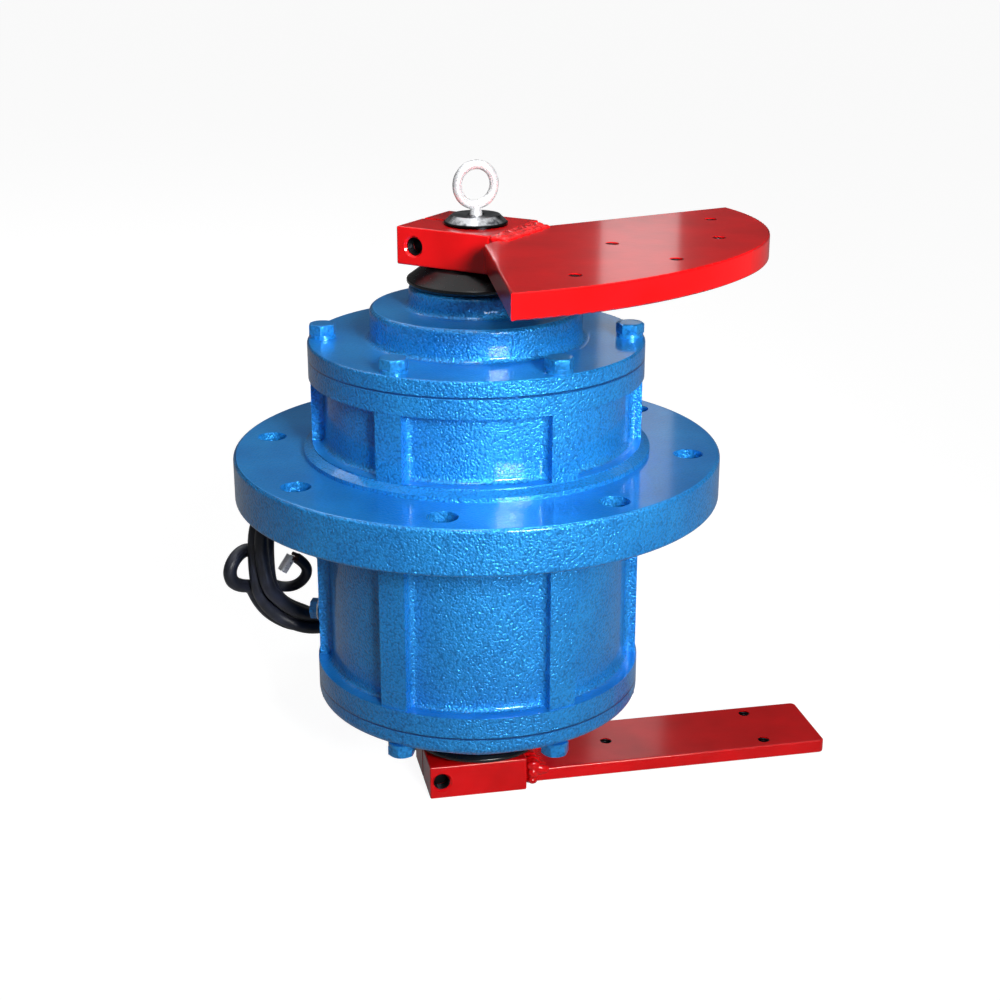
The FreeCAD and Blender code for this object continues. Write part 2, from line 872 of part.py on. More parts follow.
def make_rotor_cage():
    """Cast cage: bars through the core, an end ring at each side, and fan blades on the rings."""
    body = new_body("rotor_cage")
    rings = new_sketch(body, "XZ_Plane")
    for low, high in (
        ("core_bottom - end_ring_height", "core_bottom"),
        ("core_bottom + core_length", "core_bottom + core_length + end_ring_height"),
    ):
        draw_polygon(rings, [
            ("end_ring_inner", low),
            ("rotor_radius - bolt_gap", low),
            ("rotor_radius - bolt_gap", high),
            ("end_ring_inner", high),
        ])
    turned_shape(body, rings)
    bars = new_sketch(body, "XY_Plane", lift="core_bottom - end_ring_height / 2")
    draw_circle(bars, "bar_radius - thread_fit", "bar_pitch")
    ring_of(body, [pad(body, bars, "core_length + end_ring_height")], "bar_count")
    doc.recompute()
    blade = new_sketch(body, "XY_Plane", lift="core_bottom - end_ring_height - blade_rise")
    draw_polygon(blade, [
        ("end_ring_inner + blade_thick", "-blade_thick / 2"),
        ("rotor_radius - blade_thick", "-blade_thick / 2"),
        ("rotor_radius - blade_thick", "blade_thick / 2"),
        ("end_ring_inner + blade_thick", "blade_thick / 2"),
    ])
    lower = pad(body, blade, "blade_rise + end_ring_height / 2")
    top = new_sketch(body, "XY_Plane", lift="core_bottom + core_length + end_ring_height / 2")
    draw_polygon(top, [
        ("end_ring_inner + blade_thick", "-blade_thick / 2"),
        ("rotor_radius - blade_thick", "-blade_thick / 2"),
        ("rotor_radius - blade_thick", "blade_thick / 2"),
        ("end_ring_inner + blade_thick", "blade_thick / 2"),
    ])
    upper = pad(body, top, "blade_rise + end_ring_height / 2")
    ring_of(body, [lower, upper], "blade_count")
    return body


# heights that the shaft, the weights and the eye bolt share
UPPER_NOSE = "(drum_top + rim_upper + hub_rise + nose_rise)"
LOWER_NOSE = "(drum_bottom - rim_lower - hub_rise - nose_rise)"
UPPER_BASE = f"({UPPER_NOSE} + slinger_gap + slinger_height_upper)"
LOWER_BASE = f"({LOWER_NOSE} - slinger_gap - slinger_height_lower - block_height)"
SHAFT_TOP = f"({UPPER_BASE} + block_height + shaft_stand)"


def make_shaft():
    """Shaft: bearing seats with circlip grooves, shoulders, seal seats and two plain ends."""
    body = new_body("rotor_shaft")
    shaft_low = f"{LOWER_BASE} + shaft_recess"
    outward_top = "drum_top + bearing_start + bearing_width"
    outward_low = "drum_bottom - bearing_start - bearing_width"
    groove = "bearing_bore - circlip_groove"
    profile = new_sketch(body, "XZ_Plane")
    draw_polygon(profile, [
        ("0", shaft_low),
        ("shaft_end - shaft_low_chamfer", shaft_low),
        ("shaft_end", f"{shaft_low} + shaft_low_chamfer"),
        ("shaft_end", LOWER_NOSE),
        ("seal_seat", LOWER_NOSE),
        ("seal_seat", f"{outward_low} - circlip_room"),
        ("bearing_bore", f"{outward_low} - circlip_room"),
        ("bearing_bore", f"{outward_low} - circlip_thick - thread_fit"),
        (groove, f"{outward_low} - circlip_thick - thread_fit"),
        (groove, outward_low),
        ("bearing_bore", outward_low),
        ("bearing_bore", "drum_bottom - bearing_start"),
        ("shoulder", "drum_bottom - bearing_start"),
        ("shoulder", "core_bottom - core_stop"),
        ("core_seat", "core_bottom - core_stop"),
        ("core_seat", "core_bottom + core_length"),
        ("shoulder", "core_bottom + core_length"),
        ("shoulder", "drum_top + bearing_start"),
        ("bearing_bore", "drum_top + bearing_start"),
        ("bearing_bore", outward_top),
        (groove, outward_top),
        (groove, f"{outward_top} + circlip_thick + thread_fit"),
        ("bearing_bore", f"{outward_top} + circlip_thick + thread_fit"),
        ("bearing_bore", f"{outward_top} + circlip_room"),
        ("seal_seat", f"{outward_top} + circlip_room"),
        ("seal_seat", UPPER_NOSE),
        ("shaft_end", UPPER_NOSE),
        ("shaft_end", f"{SHAFT_TOP} - shaft_bevel_rise"),
        ("shaft_end - shaft_bevel", SHAFT_TOP),
        ("eye_mouth", SHAFT_TOP),
        ("eye_thread", f"{SHAFT_TOP} - eye_mouth_depth"),
        ("eye_thread", f"{SHAFT_TOP} - eye_depth"),
        ("0", f"{SHAFT_TOP} - eye_depth - eye_mouth_depth"),
    ])
    turned_shape(body, profile)
    return body


def make_eye_bolt():
    """Lifting eye bolt in the shaft's centre hole: ring, tapering neck and threaded shank."""
    shank = doc.addObject("Part::Cylinder", "EyeShank")
    shank.setExpression("Radius", bound("eye_thread - thread_fit"))
    shank.setExpression("Height", bound("eye_depth - 2 * eye_mouth_depth"))
    place(shank, z=f"{SHAFT_TOP} - eye_depth + eye_mouth_depth")
    neck = doc.addObject("Part::Cone", "EyeNeck")
    neck.setExpression("Radius1", bound("eye_neck"))
    neck.setExpression("Radius2", bound("eye_wire"))
    neck.setExpression("Height", bound("eye_rise - eye_ring + eye_mouth_depth + eye_wire / 2"))
    place(neck, z=f"{SHAFT_TOP} - eye_mouth_depth")
    ring = doc.addObject("Part::Torus", "EyeRing")
    ring.setExpression("Radius1", bound("eye_ring"))
    ring.setExpression("Radius2", bound("eye_wire"))
    place(ring, z=f"{SHAFT_TOP} + eye_rise", yaw="eye_turn", roll="90")
    bolt = doc.addObject("Part::MultiFuse", "lifting_eye_bolt")
    bolt.Shapes = [shank, neck, ring]
    bolt.Label = "lifting_eye_bolt"
    return bolt


# ------------------------------------------------------------------ weights
def across_circle(radius, y):
    """A test for full circles whose axis lies along Y, at one distance along it."""
    size = number(radius)
    level = number(y)

    def picks(edge):
        curve = edge.Curve
        if not isinstance(curve, Part.Circle) or abs(curve.Axis.y) < 0.99:
            return False
        return abs(curve.Radius - size) < 0.01 and abs(curve.Center.y - level) < 0.01

    return picks


def outer_edge_of_block(edge):
    """A test for the edges of the clamp block's outer box, without the slit's."""
    if not isinstance(edge.Curve, Part.Line):
        return False
    middle = edge.CenterOfMass
    direction = edge.Curve.Direction
    at_side = abs(abs(middle.y) - number("block_half")) < 0.01
    at_tip = min(abs(middle.x + number("block_tail")), abs(middle.x - number("block_nose"))) < 0.01
    at_lid = min(abs(middle.z), abs(middle.z - number("block_height"))) < 0.01
    if abs(direction.z) > 0.99:
        return at_side and at_tip
    return at_lid and (at_side if abs(direction.x) > 0.99 else at_tip)


class Weight:
    """One out-of-balance weight: where its clamp block sits, and how it is turned."""

    def __init__(self, name, base, turned, clamp_along, plate, weld):
        self.name = name
        self.base = base
        self.turned = turned
        self.clamp_along = clamp_along
        self.plate_start, drop, thick = plate
        self.plate_top = f"block_height - {drop}"
        self.plate_low = f"block_height - {drop} - {thick}"
        self.weld_front, self.weld_back, self.weld_reach, self.weld_rise = weld

    def put(self, body):
        """Set a part that was built on the block's lower face into its place."""
        place(body, z=self.base, yaw=self.turned)


weights = [
    Weight(
        "upper",
        UPPER_BASE,
        "upper_turn",
        "clamp_along_upper",
        ("plate_start", "plate_drop", "plate_thick"),
        ("(block_half - block_edge)", "plate_root_back", "weld_upper_reach", "weld_upper_rise"),
    ),
    Weight(
        "lower",
        LOWER_BASE,
        "lower_turn",
        "clamp_along_lower",
        ("bar_start", "bar_drop", "bar_thick"),
        ("(bar_half - block_edge)", "(bar_half - block_edge)", "weld_lower_reach", "weld_lower_rise"),
    ),
]
upper_weight, lower_weight = weights


def make_clamp_block(weight):
    """Clamp block: a bored block, slit from its tail to the bore, with a cross screw hole."""
    body = new_body(f"{weight.name}_clamp_block")
    outline = new_sketch(body, "XY_Plane")
    draw_polygon(outline, [
        ("-block_tail", "-block_half"),
        ("block_nose", "-block_half"),
        ("block_nose", "block_half"),
        ("-block_tail", "block_half"),
    ])
    pad(body, outline, "block_height")
    bore = new_sketch(body, "XY_Plane")
    draw_circle(bore, "shaft_end + clamp_gap")
    pocket(body, bore)
    slit = new_sketch(body, "XY_Plane")
    draw_polygon(slit, [
        ("-block_tail - slit_width", "-slit_width / 2"),
        ("-shaft_end + slit_width", "-slit_width / 2"),
        ("-shaft_end + slit_width", "slit_width / 2"),
        ("-block_tail - slit_width", "slit_width / 2"),
    ])
    pocket(body, slit)
    for radius, up in (("clamp_thread", True), ("clamp_thread + clamp_room", False)):
        hole = new_sketch(body, "XZ_Plane")
        draw_circle(hole, radius, weight.clamp_along, "block_height / 2")
        pocket(body, hole, "block_half + slit_width", up)
    soften(body, across_circle("clamp_thread", "-block_half"), "clamp_chamfer", "Chamfer")
    soften(body, outer_edge_of_block, "block_edge")
    weight.put(body)
    return body


def make_clamp_bolt(weight):
    """Screw across the slit: its head is on the back jaw and it is threaded into the front one."""
    body = new_body(f"{weight.name}_clamp_bolt")
    level = "block_height / 2"
    shank = new_sketch(body, "XZ_Plane", lift="block_half - clamp_tip")
    draw_circle(shank, "clamp_thread - thread_fit", weight.clamp_along, level)
    pad(body, shank, "2 * block_half - clamp_tip + clamp_washer_thick", down=True)
    head = new_sketch(body, "XZ_Plane", lift="-block_half - clamp_washer_thick")
    draw_hexagon(head, "clamp_flats", weight.clamp_along, level)
    pad(body, head, "clamp_head", down=True)
    weight.put(body)
    return body


def make_clamp_washer(weight):
    """Washer under the clamp screw's head."""
    body = new_body(f"{weight.name}_clamp_washer")
    level = "block_height / 2"
    outline = new_sketch(body, "XZ_Plane", lift="-block_half")
    draw_circle(outline, "clamp_washer", weight.clamp_along, level)
    draw_circle(outline, "clamp_thread + bolt_gap", weight.clamp_along, level)
    pad(body, outline, "clamp_washer_thick", down=True)
    weight.put(body)
    return body


def rim_edges(weight):
    """A test for the edges of a plate's lower and upper face, without those at the weld."""
    levels = (number(weight.plate_low), number(weight.plate_top))
    start = number(weight.plate_start)

    def picks(edge):
        if isinstance(edge.Curve, Part.Circle) and edge.Curve.Radius < 2 * number("tap_hole"):
            return False
        box = edge.BoundBox
        if box.XMax < start + 0.01:
            return False
        return any(max(abs(box.ZMin - z), abs(box.ZMax - z)) < 0.01 for z in levels)

    return picks


def upright_edge(edge):
    """A test for straight edges along Z."""
    return isinstance(edge.Curve, Part.Line) and abs(edge.Curve.Direction.z) > 0.99


def tapped_holes(body, spots):
    """Threaded holes right through a plate, at pairs of a distance and an angle."""
    for distance, angle in spots:
        hole = new_sketch(body, "XY_Plane")
        draw_circle(hole, "tap_hole", f"{distance} * cos({angle})", f"{distance} * sin({angle})")
        pocket(body, hole)


def make_weight_plate():
    """Fan-shaped plate of the upper weight: straight flanks and a flat rim of two tangent arcs."""
    body = new_body("upper_weight_plate")
    outline = new_sketch(body, "XY_Plane", lift=upper_weight.plate_low)
    front = "-plate_corner_front"
    back = "plate_corner_back"
    reach_front = rim_distance("plate_arc_front", "plate_corner_front + plate_joint")
    reach_back = rim_distance("plate_arc_back", "plate_corner_back - plate_joint")
    corners = [
        (reach_back, back),
        ("plate_start", "plate_root_back"),
        ("plate_start", "-plate_root_front"),
        (reach_front, front),
    ]
    joint = ("plate_reach", "plate_joint")
    spots = [V(number(x), number(y), 0) for x, y in corners]
    sides = []
    for start, stop, place_of in zip(spots, spots[1:], corners):
        sides.append(outline.addGeometry(Part.LineSegment(start, stop), False))
        pin_point(outline, sides[-1], 1, *place_of)
    pin_point(outline, sides[-1], 2, *corners[-1])
    rims = []
    for radius, start, stop in (
        ("plate_arc_front", spots[-1], V(number(joint[0]), number(joint[1]), 0)),
        ("plate_arc_back", V(number(joint[0]), number(joint[1]), 0), spots[0]),
    ):
        centre = V(number(f"plate_reach - {radius}"), number("plate_joint"), 0)
        circle = Part.Circle(centre, V(0, 0, 1), number(radius))
        arc = Part.ArcOfCircle(circle, circle.parameter(start), circle.parameter(stop))
        rims.append(outline.addGeometry(arc, False))
    pin_point(outline, rims[0], 2, *joint)
    chain = [*sides, *rims]
    for item, following in zip(chain, [*chain[1:], chain[0]]):
        outline.addConstraint(Sketcher.Constraint("Coincident", item, 2, following, 1))
    for arc, radius in zip(rims, ("plate_arc_front", "plate_arc_back")):
        mark = outline.addConstraint(Sketcher.Constraint("Radius", arc, number(radius)))
        outline.setExpression(f"Constraints[{mark}]", bound(radius))
    pad(body, outline, "plate_thick")
    outer = [("tap_outer", angle) for angle in ("tap_1", "tap_2", "tap_3", "tap_4")]
    tapped_holes(body, [("tap_inner", "tap_0"), *outer])
    soften(body, rim_edges(upper_weight), "plate_edge")
    upper_weight.put(body)
    return body


def rim_distance(radius, half_chord):
    """How far out the rim lies, at one distance from the joint of its two arcs."""
    return f"plate_reach - {radius} + sqrt({radius} ^ 2 - ({half_chord}) ^ 2)"


def make_weight_bar():
    """Flat bar of the lower weight."""
    body = new_body("lower_weight_bar")
    base = lower_weight.plate_low
    outline = new_sketch(body, "XY_Plane", lift=base)
    draw_polygon(outline, [
        ("bar_start", "-bar_half"),
        ("bar_end", "-bar_half"),
        ("bar_end", "bar_half"),
        ("bar_start", "bar_half"),
    ])
    pad(body, outline, "bar_thick")
    turned_out = "atan(bar_tap_side / bar_tap_outer)"
    reach = "sqrt(bar_tap_outer ^ 2 + bar_tap_side ^ 2)"
    tapped_holes(body, [
        ("bar_tap_inner", "0"),
        (reach, turned_out),
        (reach, f"-{turned_out}"),
    ])
    far_end = number("bar_end")
    soften(body, lambda edge: upright_edge(edge) and edge.BoundBox.XMin > far_end - 0.01, "bar_corner")
    soften(body, rim_edges(lower_weight), "plate_edge")
    lower_weight.put(body)
    return body


def make_weld(weight):
    """Weld bead across the nose of a clamp block, between the block and the plate."""
    body = new_body(f"{weight.name}_weld_bead")
    low = weight.plate_low
    high = weight.plate_top
    start = weight.plate_start
    profile = new_sketch(body, "XZ_Plane", lift=weight.weld_front)
    draw_polygon(profile, [
        ("block_nose", f"{low} - weld_under"),
        (start, low),
        (start, high),
        (f"{start} + {weight.weld_reach}", high),
        (f"{start} + {weight.weld_reach} / 4", f"{high} + {weight.weld_rise} / 2"),
        (f"block_nose + {weight.weld_reach} / 4", f"{high} + {weight.weld_rise}"),
        ("block_nose", f"{high} + {weight.weld_rise}"),
    ])
    pad(body, profile, f"{weight.weld_front} + {weight.weld_back}", down=True)
    weight.put(body)
    return body


# ------------------------------------------------------------------ gland and earth screw
def make_gland_body():
    """Cable gland body: a threaded stub in the housing's boss, a hexagon and an outer stub."""
    body = new_body("cable_gland_body")
    stub = new_sketch(body, "XY_Plane", lift="gland_boss_face - gland_stub")
    draw_circle(stub, "gland_thread")
    pad(body, stub, "gland_stub + gland_hex + gland_nut_length / 2")
    collar = new_sketch(body, "XY_Plane", lift="gland_boss_face")
    draw_hexagon(collar, "gland_flats")
    pad(body, collar, "gland_hex")
    bore = new_sketch(body, "XY_Plane")
    draw_circle(bore, "cable_radius + bolt_gap")
    pocket(body, bore)
    place(body, z="gland_level", yaw="gland_azimuth", pitch="90")
    return body


def make_gland_nut():
    """Round gland nut, tapering towards the cable."""
    body = new_body("cable_gland_nut")
    base = "gland_boss_face + gland_hex"
    stub = f"{base} + gland_nut_length / 2"
    profile = new_sketch(body, "XZ_Plane")
    draw_polygon(profile, [
        ("gland_thread + thread_fit", base),
        ("gland_nut_radius", base),
        ("gland_nut_radius", stub),
        ("gland_nut_end", f"{base} + gland_nut_length"),
        ("cable_radius + bolt_gap", f"{base} + gland_nut_length"),
        ("cable_radius + bolt_gap", stub),
        ("gland_thread + thread_fit", stub),
    ])
    turned_shape(body, profile)
    place(body, z="gland_level", yaw="gland_azimuth", pitch="90")
    return body


CABLE_EXIT = "gland_boss_face + gland_hex + gland_nut_length + sleeve_length"


def make_gland_sleeve():
    """Tapered rubber sleeve that stiffens the cable where it leaves the gland."""
    body = new_body("cable_gland_sleeve")
    base = "gland_boss_face + gland_hex + gland_nut_length"
    profile = new_sketch(body, "XZ_Plane")
    draw_polygon(profile, [
        ("0", base),
        ("gland_nut_end - sleeve_step", base),
        ("sleeve_end", CABLE_EXIT),
        ("0", CABLE_EXIT),
    ])
    turned_shape(body, profile)
    place(body, z="gland_level", yaw="gland_azimuth", pitch="90")
    return body


def make_earth_screw():
    """Earth screw in its boss on the lower drum."""
    body = new_body("earth_screw")
    seat = "earth_boss_face + earth_washer_thick"
    shank = new_sketch(body, "XY_Plane", lift=seat)
    draw_circle(shank, "earth_thread")
    pad(body, shank, "earth_washer_thick + earth_reach", down=True)
    head = new_sketch(body, "XY_Plane", lift=seat)
    draw_hexagon(head, "earth_flats")
    pad(body, head, "earth_head")
    place(body, z="earth_level", yaw="earth_azimuth", pitch="90")
    return body


def make_earth_washer():
    """Washer under the earth screw's head."""
    body = new_body("earth_washer")
    outline = new_sketch(body, "XY_Plane", lift="earth_boss_face")
    draw_circle(outline, "earth_washer")
    draw_circle(outline, "earth_thread + bolt_gap")
    pad(body, outline, "earth_washer_thick")
    place(body, z="earth_level", yaw="earth_azimuth", pitch="90")
    return body


# ------------------------------------------------------------------ supply cable
# The cable's pieces are set out in a frame turned about Z by hank_turn. The hank hangs on the
# gland nut, so its level follows from the nut's upper side.
HANK_LEVEL = "(gland_level + gland_nut_radius + hank_gap - hank_half_tall + hank_band)"
GLAND_HEADING = "(gland_azimuth - hank_turn)"


def place_by_hank(thing, t, n, z, pitch=None):
    """Set a piece at a point of the turned frame."""
    place(
        thing,
        x=f"({t}) * cos(hank_turn) - ({n}) * sin(hank_turn)",
        y=f"({t}) * sin(hank_turn) + ({n}) * cos(hank_turn)",
        z=z,
        yaw="hank_turn",
        pitch=pitch,
    )


def draw_obround(sketch, half_wide, half_tall):
    """An upright outline of two half circles joined by straight sides."""
    straight = f"({half_tall} - {half_wide})"
    wide = number(half_wide)
    high = number(straight)
    sides = []
    runs = ((half_wide, f"-{straight}", straight), (f"-{half_wide}", straight, f"-{straight}"))
    for x, low, top in runs:
        line = Part.LineSegment(V(number(x), number(low), 0), V(number(x), number(top), 0))
        sides.append(sketch.addGeometry(line, False))
        pin_point(sketch, sides[-1], 1, x, low)
        pin_point(sketch, sides[-1], 2, x, top)
    for here, level in enumerate((straight, f"-{straight}")):
        centre = V(0, high if here == 0 else -high, 0)
        circle = Part.Circle(centre, V(0, 0, 1), wide)
        half_turn = here * math.pi
        arc = sketch.addGeometry(Part.ArcOfCircle(circle, half_turn, half_turn + math.pi), False)
        following = sides[1 - here]
        sketch.addConstraint(Sketcher.Constraint("Coincident", sides[here], 2, arc, 1))
        sketch.addConstraint(Sketcher.Constraint("Coincident", arc, 2, following, 1))
        mark = sketch.addConstraint(Sketcher.Constraint("DistanceY", -1, 1, arc, 3, centre.y))
        sketch.setExpression(f"Constraints[{mark}]", bound(level))


def make_cable_hank():
    """Hank of the cable: the outer shape of its wound turns, an obround ring."""
    body = new_body("cable_hank")
    outline = new_sketch(body, "XZ_Plane")
    draw_obround(outline, "hank_half_wide", "hank_half_tall")
    draw_obround(outline, "(hank_half_wide - hank_band)", "(hank_half_tall - hank_band)")
    pad(body, outline, "hank_band", both=True)
    half = number("hank_band / 2")
    soften(body, lambda edge: abs(abs(edge.CenterOfMass.y) - half) < 0.01, "hank_round")
    place_by_hank(body, "hank_slide", "hank_offset", HANK_LEVEL)
    return body


def arc_of_cable(label, radius, bend, sweep):
    """A piece of the cable bent in an upright arc; its middle is bend along t from the centre."""
    body = new_body(label)
    section = new_sketch(body, "XY_Plane")
    draw_circle(section, radius, bend)
    turned_shape(body, section, angle=sweep, middle=True)
    return body


def make_cable_bight():
    """Loose bight where one turn of the cable stands out from the hank."""
    body = arc_of_cable("cable_bight", "cable_radius", "-bight_radius", "bight_sweep")
    place_by_hank(
        body,
        "hank_slide - hank_half_wide - bight_out",
        "hank_offset",
        f"{HANK_LEVEL} - bight_drop",
    )
    return body


TAIL_T = "hank_slide - hank_half_wide + hank_band + tail_reach"
TAIL_N = "hank_offset - tail_forward"


def make_cable_tail():
    """End of the cable without its outer sheath: it hooks round inside the hank."""
    body = arc_of_cable("cable_tail", "tail_radius", "tail_bend", "tail_sweep")
    place_by_hank(body, TAIL_T, TAIL_N, "tail_level", pitch="tail_sweep / 2 - tail_end")
    return body


def make_core_pins(label, radius, start, length, pitch, down=False):
    """The cable's cores, or the lugs on them: one pin for each core beyond the tail's end."""
    body = new_body(label)
    outline = new_sketch(body, "XY_Plane")
    draw_circle(outline, radius, "core_pitch")
    ring_of(body, [pad(body, outline, length, down=down)], "core_count")
    place_by_hank(
        body,
        f"{TAIL_T} + tail_bend * cos(tail_end) - {start} * sin(tail_end)",
        TAIL_N,
        f"tail_level + tail_bend * sin(tail_end) + {start} * cos(tail_end)",
        pitch=pitch,
    )
    return body


def rounded_path(stops):
    """Straight runs between stops, joined by tangent arcs; every radius is printed."""
    edges = []
    here = stops[0]
    for before, corner, after in zip(stops, stops[1:], stops[2:]):
        back = (before - corner).normalize()
        ahead = (after - corner).normalize()
        half_turn = (math.pi - back.getAngle(ahead)) / 2
        shorter = min(before.distanceToPoint(corner), after.distanceToPoint(corner))
        trim = CORNER_SHARE * shorter
        radius = trim / math.tan(half_turn)
        middle = (back + ahead).normalize() * (radius / math.cos(half_turn) - radius)
        start = corner + back * trim
        stop = corner + ahead * trim
        edges.append(Part.LineSegment(here, start).toShape())
        edges.append(Part.Arc(start, corner + middle, stop).toShape())
        print(f"cable bend radius {radius:.1f} mm")
        here = stop
    edges.append(Part.LineSegment(here, stops[-1]).toShape())
    return edges


# share of the shorter neighbouring run that a bend takes up
CORNER_SHARE = 0.45


def make_supply_cable():
    """Cable from the gland to the hank: straight runs and tangent arcs behind the hank."""
    heading = math.radians(number(GLAND_HEADING))
    outward = V(math.cos(heading), math.sin(heading), 0)
    level = V(0, 0, number("gland_level"))
    exit_point = outward * number(CABLE_EXIT) + level
    first_turn = outward * number(f"{CABLE_EXIT} + lead_run") + level
    centre = V(number("hank_slide"), number("hank_offset"), number(HANK_LEVEL))
    stops = [
        exit_point,
        first_turn,
        first_turn + V(6, 26, -16),
        first_turn + V(28, 36, -38),
        first_turn + V(48, 26, -66),
        first_turn + V(52, 4, -90),
        centre + V(19, 21, -71),
        centre + V(-4, 6, -number("hank_half_tall - hank_band / 2")),
    ]
    path = Part.Wire(rounded_path(stops))
    rim = Part.Circle(exit_point, outward, number("cable_radius")).toShape()
    tube = path.makePipeShell([Part.Wire(rim)], True, False)
    expected = math.pi * number("cable_radius") ** 2 * path.Length
    print(f"cable length {path.Length:.1f} mm, volume {tube.Volume:.0f} of {expected:.0f} mm3")
    cable = doc.addObject("Part::Feature", "supply_cable")
    cable.Label = "supply_cable"
    cable.Shape = tube
    place(cable, yaw="hank_turn")
    return cable


# ------------------------------------------------------------------ build, check and write
nodes = [
    make_housing(),
    make_stator_core(),
    make_stator_winding(),
    make_rotor_core(),
    make_rotor_cage(),
    make_shaft(),
    make_eye_bolt(),
    make_gland_body(),
    make_gland_nut(),
    make_gland_sleeve(),
    make_earth_screw(),
    make_earth_washer(),
    make_supply_cable(),
    make_cable_hank(),
    make_cable_bight(),
    make_cable_tail(),
    make_core_pins("cable_cores", "core_radius", "0", "core_reach", "-tail_end"),
    make_core_pins("cable_lugs", "lug_radius", "core_reach", "lug_length", "lug_pitch", down=True),
]
end_makers = [
    make_cover,
    make_cover_bolts,
    make_spring_washers,
    make_outer_ring,
    make_inner_ring,
    make_rollers,
    make_roller_cage,
    make_bearing_cap,
    make_cap_screws,
    make_circlip,
    make_oil_seal,
    make_slinger,
]
for end in ends:
    nodes.extend(maker(end) for maker in end_makers)
nodes.extend([make_weight_plate(), make_weight_bar()])
for weight in weights:
    nodes.extend([
        make_clamp_block(weight),
        make_clamp_bolt(weight),
        make_clamp_washer(weight),
        make_weld(weight),
    ])
doc.recompute()

failed = [thing.Name for thing in doc.Objects if {"Invalid", "Error"} & set(thing.State)]
failed += [node.Label for node in nodes if node.Shape.isNull() or not node.Shape.isValid()]
if failed:
    raise RuntimeError(f"not built: {failed}")
os.makedirs("parts", exist_ok=True)
for node in nodes:
    node.Shape.exportStep(f"parts/{node.Label}.step")
    print(node.Label, len(node.Shape.Solids), round(node.Shape.Volume))
print(len(nodes), "sub-parts written")
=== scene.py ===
"""Studio scene of a vertical vibration motor: hammertone housing, gloss red weights, rubber cable.

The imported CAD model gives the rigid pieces. This script adds the cable's winding, the welds'
ripples, the cut threads, the cover bolts with their chamfered heads, the materials, the lights and
the camera. Lengths are metres, unless a name ends in mm or a comment says otherwise.
"""

import json
import math

import bpy
from mathutils import Matrix, Vector


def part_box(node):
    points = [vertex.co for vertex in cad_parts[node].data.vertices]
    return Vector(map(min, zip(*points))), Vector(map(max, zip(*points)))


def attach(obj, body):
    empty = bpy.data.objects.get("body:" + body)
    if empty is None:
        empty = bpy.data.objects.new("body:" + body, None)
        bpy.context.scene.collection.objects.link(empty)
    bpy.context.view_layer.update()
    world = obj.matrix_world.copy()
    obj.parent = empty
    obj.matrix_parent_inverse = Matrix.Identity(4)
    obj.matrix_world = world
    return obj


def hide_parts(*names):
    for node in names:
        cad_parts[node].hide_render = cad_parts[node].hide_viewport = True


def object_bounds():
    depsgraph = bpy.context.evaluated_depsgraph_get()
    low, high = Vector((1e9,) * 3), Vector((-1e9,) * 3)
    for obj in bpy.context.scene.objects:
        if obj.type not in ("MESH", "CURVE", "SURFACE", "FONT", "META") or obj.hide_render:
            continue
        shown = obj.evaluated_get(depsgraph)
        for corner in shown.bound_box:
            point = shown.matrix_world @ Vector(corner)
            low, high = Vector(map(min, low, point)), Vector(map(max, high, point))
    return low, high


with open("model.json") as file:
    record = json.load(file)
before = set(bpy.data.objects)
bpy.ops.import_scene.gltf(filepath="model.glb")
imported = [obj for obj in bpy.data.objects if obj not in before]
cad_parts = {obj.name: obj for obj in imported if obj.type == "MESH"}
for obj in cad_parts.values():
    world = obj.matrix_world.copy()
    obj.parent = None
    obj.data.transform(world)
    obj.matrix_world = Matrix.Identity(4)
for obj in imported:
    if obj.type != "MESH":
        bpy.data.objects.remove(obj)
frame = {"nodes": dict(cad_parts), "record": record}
cad_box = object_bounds()
nodes = frame["nodes"]
MM = 0.001


# ------------------------------------------------------------------ small helpers
def srgb(code):
    """Linear RGBA of an sRGB hex value such as 1f63b5."""
    levels = [int(code[k : k + 2], 16) / 255 for k in (0, 2, 4)]
    linear = [c / 12.92 if c <= 0.04045 else ((c + 0.055) / 1.055) ** 2.4 for c in levels]
    return (*linear, 1.0)


def add(tree, kind, inputs=None, out=None, **settings):
    """Add a shader node; each input is a value, or a socket to link from. Gives the output that
    out names, or else the node."""
    made = tree.nodes.new(f"ShaderNode{kind}")
    for name, value in settings.items():
        setattr(made, name, value)
    for name, value in (inputs or {}).items():
        if isinstance(value, bpy.types.NodeSocket):
            tree.links.new(value, made.inputs[name])
        else:
            made.inputs[name].default_value = value
    return made if out is None else made.outputs[out]


def per_mm(size):
    """Texture scale whose pattern repeats about every so many millimetres."""
    return 1 / (size * MM)


def new_material(name):
    """An empty node material, its tree and the object's own coordinates."""
    material = bpy.data.materials.new(name)
    material.use_nodes = True
    tree = material.node_tree
    tree.nodes.clear()
    return material, tree, add(tree, "TexCoord", out="Object")


def deselect_all():
    """Clear the selection, so that the next operator acts on its own piece only."""
    bpy.ops.object.select_all(action="DESELECT")


def give(piece, material):
    """Put one material on a piece."""
    piece.data.materials.clear()
    piece.data.materials.append(material)


# ------------------------------------------------------------------ camera
# down from level and to the right in degrees, and the lens in mm
CAMERA_PLACE = Vector((0, -1.1314, 0.3949))
CAMERA_DOWN = 19.64
CAMERA_YAW = 0.80
LENS = 62.59

bpy.ops.object.camera_add(
    location=CAMERA_PLACE,
    rotation=(math.radians(90 - CAMERA_DOWN), 0, -math.radians(CAMERA_YAW)),
)
camera = bpy.context.object
camera.data.lens = LENS
bpy.context.scene.camera = camera

